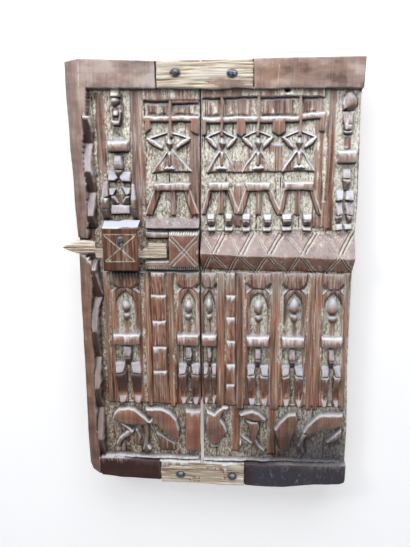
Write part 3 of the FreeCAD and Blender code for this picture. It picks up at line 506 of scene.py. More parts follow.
def carve_left():
    """The relief of the left plank."""
    field((259, 453.5, 918, 950), 30.0, 0.55, 2.0)
    strips(((93, 121, 757, 935), (98, 116, 660, 800), (213, 256, 690, 940), (222, 246, 640, 700),
            (415, 452, 660, 870)), 23.0, 0.85, 8.0)
    strips(((272, 345, 890, 910), (366, 450, 888, 908)), 22.5, 0.6, 6.0)
    field((88, 453.5, 199, 534), FIELD, 0.72, 3.0)
    gaps((104, 112), (226, 243), (262, 267), (322.5, 330), (350, 360), (446.5, 453.5))
    # the standing ancestor: a crested head in a pointed recess, with its blocks below
    recess([(138, 870), (133, 900), (143, 927), (153, 938), (180, 938), (194, 912), (197, 898), (188, 862),
            (184, 838), (148, 838)], 3.0, 4.0)
    # a pale painted highlight line on the recess's left rim, and painted shade on its right side and at its
    # foot
    groove([(145.5, 926), (141.5, 915), (145.5, 888), (149, 868)], 2.6, 0.2, 1.0)
    mark(soot, [(184, 918), (196, 905), (196, 885), (187, 862), (181, 862)], 0.45, 6.0)
    mark(soot, (150, 183, 839, 864), 0.5, 8.0)
    facet((146.5, 178.5, 926, 945), 1.05, 0.45)
    # chalk whitens the crest's up-facing top, a painted highlight
    mark(chalk, (148, 177, 928, 944), 0.8, 3.0)
    dome(160, 917, 14.5, 11, 10.5, 1.0)
    outline([(146, 909), (181, 909), (180, 884), (174, 866), (152, 866), (147, 884)], 0.1, 1.6)
    facet((154.5, 169.5, 886, 897.5), 0.85, 0.3, 0.6)
    band([(148, 902), (150.5, 873), (175.5, 873), (179.5, 896)], 4.0, 0.62, 1.2)
    facet((150, 178, 867, 876), 0.75, 0.3, 0.8)
    block(131, 204, 809, 836, 1.0, 0.3, 0.05, 0.03)
    heat((135, 200, 811, 828), 0.8)
    facet((153.5, 181, 784.5, 802), 1.0, 0.35)
    block(153.5, 181, 770, 786, 1.0, 0.02, 0.1, 0.05)
    recess((124, 205, 668, 740.5), 1.5, 1.0)
    for points, low, high in (
        ([(154, 770.5), (180.5, 770.5), (177, 756), (158, 756)], 0.3, 1.0),
        ([(126, 766.5), (154, 766.5), (162, 751), (152, 743.5), (126, 743.5)], 1.05, 0.15),
        ([(172, 766.5), (205.5, 765.5), (205.5, 743.5), (176, 743.5), (167, 751)], 1.05, 0.15),
        ([(103, 744), (124, 741), (123, 708), (96, 704)], 1.05, 0.15),
        ([(96, 682.5), (122, 682.5), (122, 657), (99, 657)], 0.35, 1.05),
        ([(204, 741), (216, 737), (224.5, 703), (204.5, 703)], 1.05, 0.15),
        ([(205, 681.5), (224, 681.5), (222, 658), (206, 658)], 0.35, 1.05),
        ([(125, 726.5), (153, 727.5), (144, 711), (127, 711)], 0.95, 0.15),
        ([(168, 734.5), (175, 731), (202, 729), (201, 714), (188, 711)], 0.95, 0.15),
        ([(131, 711), (145, 711), (159, 692), (134, 690)], 0.2, 0.85),
        ([(187, 711), (199, 712), (197, 690), (167, 692)], 0.2, 0.85),
    ):
        facet(points, low, high)
    block(95, 123, 681, 707, 1.05, 0.02, 0.05, 0.08)
    block(204.5, 224.5, 680, 705, 1.05, 0.02, 0.05, 0.08)
    band([(163, 716), (163, 686)], 2.4, 0.5, 1.2)
    facet((128, 199, 668, 689), 0.75, 0.25)
    # the masked dancer and its stool
    dancer(354, 78, 78, lean=-8.5)
    for row in ((272, 350, 916, 931), (358, 453.5, 911, 926), (259, 351, 873, 885),
                (357, 453.5, 872, 884)):
        bar(*row)
    drop(262, 285, 846, -10)
    drop(424, 453.5, 841, 10)
    stool((287, 420), ((315, 288), (393, 419)), ((285, 256), (421.5, 449)), 357)
    # the beam, the two rails beside the bolt's tail, and the panel that stops the bolt
    block(256, 451, 636, 666.5, 0.95, 0.85, 0.04, 0.0)
    mark(calm, (254, 453, 634, 668), 0.8, 3.0)
    mark(gloom, (256, 451, 636, 647), 0.25, 4.0)
    # painted shade over the lower legs beside the stool
    for left, right in ((95, 123), (204.5, 224.5)):
        mark(gloom, (left, right, 657, 702), 0.45, 3.0)
    block(254, 338, 612, 632, 0.6, 0.3, 0.1, 0.0)
    block(251, 450, 538, 565, 1.05, 0.2, 0.1, 0.0)
    block(339.5, 448.5, 546, 631, 1.0, 0.04, 0.04, 0.02, full=PANEL)
    for start, end in ((621, 551), (551, 621)):
        double_groove([(345, start), (445, end)], 16, width=2.0, depth=1.8, filled=0.7)
    mark(gloom, (339.5, 448.5, 546, 623.5), 0.22, 2.0)
    heat((339.5, 448.5, 546, 623.5), 0.6, 2.0)
    mark(chalk, (342, 447, 624.5, 630.5), 0.45, 1.5)
    # short cuts, each holding a painted shade line, with chalk beside
    for x in np.linspace(347, 442, 12):
        mark(chalk, (x + 3, x + 6, 625, 630), 0.9, 0.8)
        groove([(x, 625.5), (x, 629.5)], 1.9, 1.6, 0.0, 1.0)
    groove([(342, 623.5), (447, 623.5)], 1.6, 0.9, 1.0)
    groove([(256, 560.5), (338, 560.5)], 1.6, 0.9, 0.9)
    mark(soot, (262, 448, 539.5, 547.5), 0.55, 2.0)
    ticks(268, 445, 543.5, 26, 7, 1.6, 1.0, 1.0)
    ticks(262, 340, 553.5, 14, 3)
    niche_figure(169, 106, 36.5, 16, 15)
    niche_figure(403.5, 83, 26.5, 13.5, 18)
    strips(((245, 262, 190, 534), (330, 347, 190, 534)), 26.0, 1.0, 3.0)
    notched_post(268, 322, (533, 477, 414, 346, 285, 199))
    # a grazing animal with its haunch, horns and legs, and the post in front of it
    outline([(95, 152), (105, 170), (127, 184), (160, 187), (190, 183), (208, 172), (236, 158), (250, 149),
             (234, 142), (222, 140), (155, 140), (120, 148)], 0.85, 1.6, 0.06)
    outline([(226.5, 186), (300, 187), (330, 177), (352, 158), (364, 128), (366, 107), (345, 103), (327, 108),
             (300, 124), (274, 143), (236, 146), (256, 160), (240, 166)], 0.9, 1.6, 0.06)
    outline([(106, 148), (128, 150), (170, 130), (178, 121), (160, 122)], 0.62, 1.6)
    outline([(150, 122), (120, 104), (107, 88), (110, 74), (126, 74), (132, 90), (146, 100), (182, 116),
             (184, 124), (170, 127)], 0.7, 1.6)
    outline([(216, 146), (226, 118), (219, 86), (214, 70), (252, 69), (250, 78), (240, 86), (244, 120),
             (240, 149)], 0.75, 1.8)
    outline([(186, 128), (200, 126), (212, 100), (204, 78), (180, 80), (176, 100)], 0.8, 3.0, full=RIB)
    outline([(262, 126), (300, 112), (330, 98), (352, 90), (350, 66), (280, 66)], 0.75, 4.0, full=RIB)
    block(386, 447.5, 70, 187, 0.75, 0.06, 0.03, 0.05)
    heat((386, 447.5, 70, 187), 0.9)


def carve_right():
    """The relief of the right plank."""
    field((464.5, 876, 923, 950), 30.0, 0.55, 2.0)
    strips(((846, 880, 640, 945), (886, 920, 635, 945), (575, 600, 640, 735), (840, 905, 640, 700)), 23.0,
           0.8, 8.0)
    strips(((470, 520, 887, 918), (540, 645, 885, 918), (666, 788, 885, 918), (808, 876, 890, 918),
            (610, 634, 770, 815), (690, 740, 765, 822)), 22.8, 0.7, 6.0)
    facet((476, 852, 762.5, 790), 0.3, 0.0)
    field((449.5, 990, 199, 534), FIELD, 0.72, 3.0)
    gaps((449.5, 455), (499, 509), (538, 544), (579.5, 584.5), (612, 619), (698, 708), (744, 750),
         (836.5, 845), (868, 873), (893, 898), (968.5, 974))
    for row in ((530.5, 54, 50, 3.4), (655, 60, 52, 3.0), (797, 62, 58, 3.6)):
        dancer(*row)
    for row in ((464.5, 640, 921, 934), (645, 876, 921, 936), (464, 793, 868.5, 881.5),
                (800, 882, 873, 886.5, 2)):
        bar(*row)
    drop(464, 478, 841, 0)
    for left, right, low in ((579, 613, 836), (700, 748, 840)):
        middle = (left + right) / 2
        outline([(left, 880), (right, 880), (right, low + 8), (middle, low), (left, low + 8)], 0.62, 1.2)
        heat((left, right, low, 880), 0.9)
    drop(859, 882, 848, 0)
    stool((485, 557), ((497, 481), (545, 563)), ((474, 456), (574, 596)), 526.5)
    stool((613, 697), ((630, 610), (680, 699)), ((606, 584), (722, 744)), 658.5)
    stool((748, 848), ((764, 744), (832, 850)), ((744, 726), (862, 878)), 796)
    # knobs above the ridge, each on a pale foot
    for left, right in ((480, 507), (543, 568), (605, 631), (678, 705), (743, 775), (816, 843)):
        facet((left, right, 656.5, 668), 1.1, 0.35, 0.6)
        facet([(left, 657), (right, 657), (right - 2, 642), (left + 2, 642)], 0.25, 1.1, 0.6)
        block(left - 1, right + 1, 629, 642, 0.65, 0.5, 0.1, 0.08)
    ridge()
    band([(459, 631.5), (984, 632.5)], 2.2, 0.4, 1.0, full=RIB)
    # the standing ancestor at the edge: a crested oval head and a long smooth face
    facet([(944, 934), (966, 936), (962, 905), (938, 890), (936, 905)], 0.95, 0.2)
    dome(960.5, 911, 22.5, 24, 23, 1.05)
    facet([(936, 892), (980, 892), (977, 872), (971, 850), (946, 850), (939, 870)], 0.95, 0.3, 1.6)
    groove([(957, 863), (969, 863)], 1.8, 3.0, 0.0)
    facet([(944, 850.5), (975, 850.5), (972, 843), (948, 843)], 0.4, 0.95)
    block(946, 976, 808, 843, 0.12, 0.1, 0.1, 0.1)
    block(926, 992, 779, 809, 1.0, 0.18, 0.05, 0.02)
    for points, low, high in (
        ((947, 975, 745, 768), 0.95, 0.35),
        ([(947, 745.5), (976, 745.5), (970, 721), (952, 721)], 0.25, 0.95),
        ([(927, 722), (954, 722), (950, 700), (927, 697)], 1.0, 0.15),
        ([(960, 722), (988, 720), (988, 698), (958, 700)], 1.0, 0.15),
        ([(926, 693.5), (951, 695), (954, 668), (930, 664)], 1.0, 0.2),
        ([(959, 695), (988, 693), (987, 664), (962, 668)], 1.0, 0.2),
        ([(927, 664.5), (954, 668.5), (946, 648), (930, 648)], 0.25, 1.0),
        ([(963, 668.5), (987, 664.5), (984, 648), (970, 648)], 0.25, 1.0),
        ((930, 954, 632, 646), 0.8, 0.3), ((960, 986, 632, 646), 0.8, 0.3),
    ):
        facet(points, low, high)
    niche_figure(482.5, 54, 20, 11, 22)
    niche_figure(663.5, 86, 32, 14, 21, round_arch=True)
    niche_figure(793, 86, 30, 16.5, 26)
    niche_figure(934, 76, 31, 18, 26)
    strips(((512, 537, 190, 534), (586, 611, 190, 534), (710, 742, 190, 534), (846, 867, 190, 534),
            (874, 892, 190, 534), (975, 988, 190, 534)), 26.0, 1.0, 3.0)
    notched_post(545, 579, (533, 478, 423, 365, 305, 253, 197))
    strips(((566, 600, 72, 197), (704, 733, 66, 197)), 23.0, 0.85, 6.0)
    # a drop-shaped animal with a horn
    outline([(466, 186), (472, 170), (464, 150), (466, 118), (482, 96), (498, 86), (520, 98), (549, 127),
             (542, 148), (526, 164), (536, 178), (552, 186), (560, 194), (536, 196), (512, 184), (500, 176),
             (486, 180)], 0.85, 1.6, 0.07)
    band([(486, 84), (512, 84)], 6.0, 0.8, 2.0, full=RIB)
    # an upright one with a beaked head, a bent leg and a tail
    outline([(591, 176), (614, 184), (645, 188), (672, 180), (704, 160), (680, 158), (652, 158), (620, 163)],
            0.85, 1.6, 0.06)
    outline([(612, 168), (640, 158), (668, 158), (676, 136), (664, 110), (672, 96), (700, 80), (692, 74),
             (600, 112), (606, 92), (596, 70), (592, 92), (604, 116), (640, 104), (630, 140)], 0.8, 1.8, 0.1)
    # a long head, and the body and legs behind it
    outline([(725, 139), (751, 161), (780, 180), (812, 182), (820, 164), (808, 130), (798, 104), (791, 82),
             (749, 82), (741, 104), (730, 124)], 0.85, 1.7, 0.06)
    outline([(834, 130), (850, 150), (878, 167), (905, 182), (987, 185), (987, 152), (939, 144), (905, 139),
             (880, 132), (862, 122)], 0.9, 1.7, 0.06)
    outline([(838, 128), (822, 100), (816, 94), (828, 82), (838, 70), (850, 78), (842, 92), (846, 108),
             (862, 128)], 0.75, 2.0)
    outline([(987, 150), (987, 118), (958, 106), (930, 100), (922, 108), (940, 118), (962, 134)], 0.75, 2.4)
    pit(753, 934, 4.5, 9.0, 1.0, 1.5)


EDGE_LEFT = ((1006, -6), (900, -6), (815, -4), (748, 0), (680, 2), (600, 6), (500, 3), (280, 2), (120, -2),
             (30, 0), (13, 9), (3, 28))
FOOT_LEFT = ((4, 16), (12, 12), (47, 3), (130, -3), (460, -10))
EDGE_RIGHT = ((-16, 989), (-6, 994), (-2, 998), (10, 1004), (107, 1006), (150, 1006), (300, 998), (400, 996),
              (470, 997), (550, 996), (630, 999), (680, 1003), (745, 1002), (892, 998), (938, 999),
              (1000, 1002))
FOOT_RIGHT = ((440, -10), (720, -16), (770, -15.5), (880, -6), (985, -2), (1004, 4))
SEAM = ((-20, 451), (200, 450.5), (320, 449.8), (470, 449), (757, 454.3), (1000, 461))
SEAM_GAP = 3.0
SEAM_SPREAD = 2.8
SPREAD_Z = Z(205)


def edge_line(table, flip=False):
    """A function of millimetres from a table of (up, across) places, or (across, up) when flipped."""
    first, second = (X, Z) if flip else (Z, X)
    keys, values = zip(*sorted((first(a), second(b)) for a, b in table))
    return lambda at: np.interp(at, keys, values)


def seam_line(side):
    """One plank's edge along the seam."""
    line = edge_line(SEAM)

    def edge(z):
        spread = 0.7 * step_up(-z, -SPREAD_Z, 6 - SPREAD_Z) + 0.3 * step_up(-z, -SPREAD_Z, -Z(0))
        return line(z) + side * (SEAM_GAP + SEAM_SPREAD * spread) / 2

    return edge


SAW_PEAKS = (887, 766, 668, 540, 390, 242, 106)
SAW_VALLEYS = (827, 718, 636, 562, 470, 318, 182, 45)
SAW_LEFT = ((50, 42), (300, 41), (430, 42), (500, 54), (560, 52), (660, 51), (740, 49), (800, 44),
            (850, 48.5), (887, 49))
SAW_RIGHT = ((50, 66), (390, 67), (440, 71), (475, 88), (530, 74), (660, 77), (740, 80), (800, 74.5),
             (850, 82.5), (887, 76))


def frame_boards():
    """The stile with its sloped outer strip, the saw bar, the rails and the ledge on the lower rail."""
    left_edge = edge_line(EDGE_LEFT)
    crease = X(46)
    inner = edge_line(((0, 62), (300, 62), (550, 62), (884, 64), (950, 73), (1000, 73)))
    cells, x, z = window(lattice_x[0], X(80), Z(6), Z(1010))
    outer = left_edge(z)
    roll = unit((x - outer) / (crease - outer))
    stile = STILE_EDGE + (FRAME - STILE_EDGE) * roll ** 0.55
    stile = np.where(x < inner(z), stile, 0)
    # the notch fits the bolt's head, and goes lower where the shank passes
    low = np.where(x < HEAD_END - BOLT_TRAVEL - 1.0, HEAD_FOOT, BOLT_FOOT) - 1.0
    low = np.where(x < crease, low, Z(560))
    high = np.where(x < crease, BOLT_HIGH[2] + 1.0, Z(640))
    gap = 1 - step_up(z, low - 1, low) * (1 - step_up(z, high, high + 1))
    lift(cells, GROUND + (stile - GROUND) * gap)
    bare[cells] = np.where(x < inner(z), PLANED, bare[cells])
    planed[cells] = np.where(x < inner(z), 0.55, planed[cells])
    # the saw bar: light faces fall back upwards, dark faces fall back downwards
    marks = [(Z(peak), SAW_HIGH) for peak in SAW_PEAKS] + [(Z(634), SAW_HIGH - 4)]
    marks += [(Z(valley), SAW_DEEP) for valley in SAW_VALLEYS]
    keys, values = zip(*sorted(marks))
    cells, x, z = window(X(35), X(96), Z(50), Z(886.5))
    bar_level = np.interp(z, keys, values)
    bar_left, bar_right = edge_line(SAW_LEFT)(z), edge_line(SAW_RIGHT)(z)
    inside = (x > bar_left) & (x < bar_right) & ((z < Z(560)) | (z > Z(638)))
    side = unit(np.minimum((x - bar_left) / 0.8, (bar_right - x) / 1.6))
    height[cells] = np.where(inside, GROUND + (bar_level - GROUND) * side, height[cells])
    bare[cells] = np.where(inside, PLANED, bare[cells])
    saw[cells] = np.where(inside, 1.0, 0.0)
    # the rails
    top = edge_line(((0, 947.5), (300, 942), (450, 940.5), (500, 938), (1000, 938.5)), flip=True)
    foot = edge_line(((0, 53.5), (100, 52), (280, 49), (600, 45), (1000, 52)), flip=True)
    cells, x, z = window(lattice_x[0], lattice_x[-1], Z(875), lattice_z[-1])
    board = (z > top(x)) & (x > crease)
    rising = np.where((x > X(75)) & (x < X(990)), GROUND + 3.0 * step_up(z, top(x) - 15.0, top(x) + 1.0), 0)
    calm[cells] = np.where(rising > GROUND + 0.1, 1.0, calm[cells])
    height[cells] = np.maximum(height[cells], rising)
    planed[cells] = np.where(board, 1.0, planed[cells])
    lift(cells, np.where(board, FRAME, 0))
    bare[cells] = np.where(board, PLANED, bare[cells])
    cells, x, z = window(X(48), lattice_x[-1], lattice_z[0], Z(60))
    board = z < foot(x)
    lift(cells, np.where(board, FRAME, 0))
    bare[cells] = np.where(board, 2.4, bare[cells])
    planed[cells] = np.where(board, 0.7, planed[cells])
    facet([(64, 55.8), (440, 53), (440, 49.5), (64, 52)], 1.03, 0.55, 0.5, FRAME)
    facet([(455, 52), (985, 54.6), (985, 52), (455, 48.5)], 1.03, 0.55, 0.5, FRAME)


frame_boards()
carve_left()
carve_right()

# Redder and greyer patches of the head rails, a pale painted highlight along the crease beside the stile, and
# a painted shade line down the stile's foot
heat((115, 250, 952, 976), 0.55, 26.0)
heat((655, 740, 945, 995), 0.9, 30.0)
heat((60, 270, -10, 40), 0.8, 10.0)
heat((780, 850, 950, 985), 0.35, 26.0)
groove([(47, 999.5), (46.5, 952)], 2.0, 0.6, 0.9)
groove([(46, 48), (47.5, -4)], 2.6, 3.0, 0.0, 0.9)
groove([(722, 985), (719, 948)], 2.2, 0.2, 0.55)

# Dark areas: the foot rails and what lies near them, the stile's foot, the ground beside the stile, and a
# painted shadow under the lock
for points, share, soft in (
    ((48, 285, -20, 51), 1.0, 4.0), ((617, 1010, -30, 50), 1.0, 8.0),
    ((700, 1010, 20, 130), 0.75, 40.0), ((600, 1010, 50, 190), 0.35, 40.0),
    ((620, 760, -20, 120), 0.5, 30.0), ((90, 600, 52, 190), 0.1, 40.0),
    ((-20, 55, -30, 160), 0.45, 60.0), ((55, 80, 50, 300), 0.3, 30.0),
    ((120, 228, 515, 541), 0.75, 10.0), ((-20, 36, 300, 560), 0.3, 40.0),
    ((-20, 1020, 945, 1020), 0.12, 6.0), ((-20, 70, 550, 930), 0.18, 30.0),
    ((60, 440, 640, 800), 0.12, 40.0),
):
    mark(gloom, points, share, soft)
# a painted shadow under the lock
mark(soot, (108, 228, 528, 545), 0.85, 5.0)
mark(slate, (640, 1020, -40, 48), 0.9, 30.0)
mark(slate, (790, 1020, 20, 105), 0.8, 60.0)


def cut_to(level, x0, x1, z0, z1):
    """Cuts a box of the lattice down to a level, and returns its cells."""
    cells, x, z = window(x0, x1, z0, z1)
    height[cells] = np.minimum(height[cells], level)
    return cells


# The lock's seat, the bolt's way beside it, and the dark joints at the battens' ends
SEAT_MARGIN, WAY_MARGIN, JOINT = 1.2, 1.0, 1.3
cut_to(GROUND - 0.2, LOCK_LOW[0] - SEAT_MARGIN, LOCK_HIGH[0] + SEAT_MARGIN, LOCK_LOW[2] - SEAT_MARGIN,
       LOCK_HIGH[2] + SEAT_MARGIN)
cut_to(-BOLT_HIGH[1] - 1.5, HEAD_END - BOLT_TRAVEL - WAY_MARGIN, LOCK_LOW[0], BOLT_FOOT - WAY_MARGIN,
       BOLT_HIGH[2] + WAY_MARGIN)
cut_to(GROUND + 1.5, LOCK_HIGH[0], X(339), BOLT_FOOT - WAY_MARGIN, Z(611))
for node in ("top_batten", "bottom_batten"):
    low, high = box_mm(node)
    for x0 in (low[0], high[0]):
        soot[cut_to(FRAME - 3.0, x0 - JOINT, x0 + JOINT, low[2], high[2])] = 0.95

# Hand work: wavering edges, rounded corners, knife marks, fibres and crust
warp_x = 0.5 * noise(1, 22, 34) + 0.28 * noise(2, 7, 9)
warp_z = 0.5 * noise(3, 26, 20) + 0.28 * noise(4, 8, 7)
height, bare, warm, chalk, soot, calm, saw = [sample(field_map, GRID_X + warp_x, GRID_Z + warp_z)
                                              for field_map in (height, bare, warm, chalk, soot, calm, saw)]
raised = step_up(height, GROUND + 1.0, GROUND + 5.0)
height = np.minimum(height, blur(height, 0.7) + 0.5)
height = np.maximum(height, blur(height, 0.8) - 0.9)
height += raised * (0.4 * noise(5, 16, 40) + 0.1 * noise(6, 2.2, 30))
height += (1 - raised) * (0.5 * noise(7, 12, 16) + 0.25 * noise(8, 3.0, 3.4) + 0.14 * noise(9, 1.6))

# What the finish needs to know of the shape


def raised_by(distance):
    """How far the surface rises towards a place that far above."""
    return np.roll(height, -int(round(distance / STEP)), axis=0) - height


near = blur(height, 1.1)
convex = unit((height - near) / 1.0 - 0.1)
hollow = unit((blur(height, 2.2) - height) / 2.2)
planed = np.maximum(planed, 0.6 * step_up(height, 27.5, 30.5))
# wear and a painted highlight on the upper edges
on_top = np.clip(-raised_by(2.0) / 2.5, 0.15, 1)
wear = convex * on_top
# painted shade under overhanging forms and in hollows, fainter towards the head and the right
overhang = np.maximum.reduce([raised_by(d) / (1.5 + 1.0 * d) for d in (1.0, 2.0, 3.0)])
dirt = unit(overhang - 0.25) * (1.1 - 0.4 * pale) + 0.9 * hollow * (1.15 - 0.8 * pale)
dirt = unit(dirt)
# the slopes that face up take a painted highlight, partly dust, and those that face down painted shade
falling = -np.gradient(blur(height, 0.7), STEP, axis=0) * (1 + 2 * saw)
dust = unit((falling - 0.15) / 0.5) * (1 - 0.75 * calm) * (1 - 0.55 * saw)
shade = unit((-falling - 0.15) / 0.5) * (1 - 0.85 * calm) * (1 + 0.25 * saw)
# how grey and worn the wood is, from 0 at the foot to 1 at the head
age = (np.clip((GRID_Z - Z(500)) / (0.5 * DOOR_HEIGHT), -1, 1) * 0.5 + 0.5).astype(np.float32)


# Meshes


def added(name, data):
    """A new object in the scene."""
    thing = bpy.data.objects.new(name, data)
    bpy.context.scene.collection.objects.link(thing)
    return thing


def apply(piece, modifier):
    """Applies a modifier."""
    bpy.context.view_layer.objects.active = piece
    bpy.ops.object.modifier_apply(modifier=modifier.name)


def smooth(mesh):
    """Shades a mesh smooth."""
    mesh.polygons.foreach_set("use_smooth", np.ones(len(mesh.polygons), bool))


# One cell of a board's back is as wide as this many of its front
COARSE = 4
# How far back each ring of a board's side lies
RINGS = (0.08, 0.22, 0.42, 0.62, 0.82, 0.95, 1.0)


def fitted_grid(edges, step):
    """A grid of places inside four edges, and how far each lies from the edges."""
    left, right, foot, head = edges
    middle_z = (foot(0.0) + head(0.0)) / 2
    wide_mm = right(middle_z) - left(middle_z)
    middle_x = (left(middle_z) + right(middle_z)) / 2
    tall_mm = head(middle_x) - foot(middle_x)
    count_x, count_z = (max(int(round(size / step / COARSE)), 2) * COARSE + 1 for size in (wide_mm, tall_mm))
    u, v = np.meshgrid(np.linspace(0, 1, count_x), np.linspace(0, 1, count_z))
    x = left(middle_z) + wide_mm * u
    for _ in range(5):
        z = foot(x) * (1 - v) + head(x) * v
        x = left(z) * (1 - u) + right(z) * u
    rim = np.minimum(np.minimum(u, 1 - u) * wide_mm, np.minimum(v, 1 - v) * tall_mm)
    return x, z, rim


def perimeter(rows, columns):
    """Grid cells around the edge, anticlockwise seen from the front."""
    cells = [(0, c) for c in range(columns - 1)]
    cells += [(r, columns - 1) for r in range(rows - 1)]
    cells += [(rows - 1, c) for c in range(columns - 1, 0, -1)]
    cells += [(r, 0) for r in range(rows - 1, 0, -1)]
    return cells


def slab(name, edges, front, back, step, maps, seed, rim_round=1.4, back_wave=0.5, undercut=None):
    """A closed board: a fine front, hewn sides and a coarser back.

    front gives the height above the door's back at any places, back is the height of its rear face,
    maps are named lattice fields that the finish reads, each with its value off the front, and
    undercut is how steeply the right side falls back at a height up the door.
    """
    rng = np.random.default_rng(seed)
    x, z, rim = fitted_grid(edges, step)
    rows, columns = x.shape
    rounding = rim_round * unit(1 - rim / (rim_round * 1.6)) ** 2
    y = front(x, z) - rounding
    points = [np.stack([x, -y, z], -1).reshape(-1, 3)]
    index = np.arange(rows * columns).reshape(rows, columns)
    a, b, c, d = index[:-1, :-1], index[:-1, 1:], index[1:, 1:], index[1:, :-1]
    faces = [np.stack([a, b, c, d], -1).reshape(-1, 4)]
    total = rows * columns
    # the hewn sides, ring by ring
    ring = np.array([index[cell] for cell in perimeter(rows, columns)])
    around_x, around_y, around_z = (values.ravel()[ring] for values in (x, y, z))
    tangent_x = np.roll(around_x, -1) - np.roll(around_x, 1)
    tangent_z = np.roll(around_z, -1) - np.roll(around_z, 1)
    length = np.hypot(tangent_x, tangent_z) + 1e-9
    inward = np.stack([-tangent_z / length, tangent_x / length], -1)
    kernel = np.hanning(9) / np.hanning(9).sum()

    def squeeze(at_x, at_z, depth):
        if undercut is None:
            return 0.0
        return undercut(at_z) * depth * (at_x - x.min()) / np.ptp(x)

    previous = ring
    for share in RINGS:
        rough = rng.standard_normal(len(ring))
        rough = np.convolve(np.concatenate([rough[-4:], rough, rough[:4]]), kernel, "valid")
        inset = 0.25 + 0.35 * np.abs(rough) + (0.7 if share == 1.0 else 0.0)
        ring_y = around_y + (back - around_y) * share
        ring_x = around_x - squeeze(around_x, around_z, around_y - ring_y)
        points.append(np.stack([ring_x + inward[:, 0] * inset, -ring_y, around_z + inward[:, 1] * inset], -1))
        current = total + np.arange(len(ring))
        total += len(ring)
        faces.append(np.stack([previous, current, np.roll(current, -1), np.roll(previous, -1)], -1))
        previous = current
    # the back
    coarse_x, coarse_z = x[::COARSE, ::COARSE], z[::COARSE, ::COARSE]
    coarse_x = coarse_x - squeeze(coarse_x, coarse_z, y.max() - back)
    coarse_rows, coarse_columns = coarse_x.shape
    wave = back_wave * rng.random((coarse_rows, coarse_columns))
    wave[[0, -1], :] = 0
    wave[:, [0, -1]] = 0
    back_index = np.full((coarse_rows, coarse_columns), -1)
    inner = [(r, c) for r in range(1, coarse_rows - 1) for c in range(1, coarse_columns - 1)]
    for number, cell in enumerate(perimeter(coarse_rows, coarse_columns)):
        back_index[cell] = previous[number * COARSE]
    for number, cell in enumerate(inner):
        back_index[cell] = total + number
    points.append(np.array([(coarse_x[cell], -(back + wave[cell]), coarse_z[cell]) for cell in inner]))
    total += len(inner)
    a, b, c, d = back_index[:-1, :-1], back_index[:-1, 1:], back_index[1:, 1:], back_index[1:, :-1]
    faces.append(np.stack([d, c, b, a], -1).reshape(-1, 4))
    # slivers close the rim of the back where the sides are finer
    slivers = []
    for start in range(0, len(ring), COARSE):
        p = [previous[(start + k) % len(ring)] for k in range(COARSE + 1)]
        slivers += [(p[0], p[4], p[2]), (p[0], p[2], p[1]), (p[2], p[4], p[3])]
    mesh = bpy.data.meshes.new(name)
    mesh.from_pydata((np.concatenate(points) / MM).tolist(), [], np.concatenate(faces).tolist() + slivers)
    mesh.validate()
    mesh.update()
    smooth(mesh)
    fine = rows * columns
    co = np.zeros(len(mesh.vertices) * 3, np.float32)
    mesh.vertices.foreach_get("co", co)
    co = co.reshape(-1, 3) * MM
    for key, (field, elsewhere) in maps.items():
        values = np.array(elsewhere(co) if callable(elsewhere) else np.full(len(co), elsewhere), np.float32)
        values[:fine] = sample(field, co[:fine, 0], co[:fine, 2])
        attribute = mesh.attributes.new(key, "FLOAT", "POINT")
        attribute.data.foreach_set("value", values)
    return added(name, mesh)


def thin_out(piece):
    """Collapses the flattest faces until the piece is light enough."""
    count = sum(len(p.vertices) - 2 for p in piece.data.polygons)
    if count <= MOST_TRIANGLES:
        return
    modifier = piece.modifiers.new("thin", "DECIMATE")
    modifier.ratio = MOST_TRIANGLES / count
    apply(piece, modifier)
    smooth(piece.data)


# Materials


def tint(red, green, blue):
    """A colour in 0 to 255 as the linear values that a shader takes."""
    values = [value / 255 for value in (red, green, blue)]
    return tuple(v / 12.92 if v <= 0.04045 else ((v + 0.055) / 1.055) ** 2.4 for v in values) + (1.0,)


class Level:
    """A shader value that takes sums."""

    def __init__(self, shader, socket):
        self.shader, self.socket = shader, socket

    def __add__(self, other):
        return self.shader.math("ADD", self, other)

    def __sub__(self, other):
        return self.shader.math("SUBTRACT", self, other)

    def __rsub__(self, other):
        return self.shader.math("SUBTRACT", other, self)

    def __mul__(self, other):
        return self.shader.math("MULTIPLY", self, other)

    def kept(self):
        """The same sum, kept between 0 and 1."""
        self.socket.node.use_clamp = True
        return self

    def above(self, start, steepness):
        """A slope from 0 to 1 that starts at a value."""
        return ((self - start) * steepness).kept()


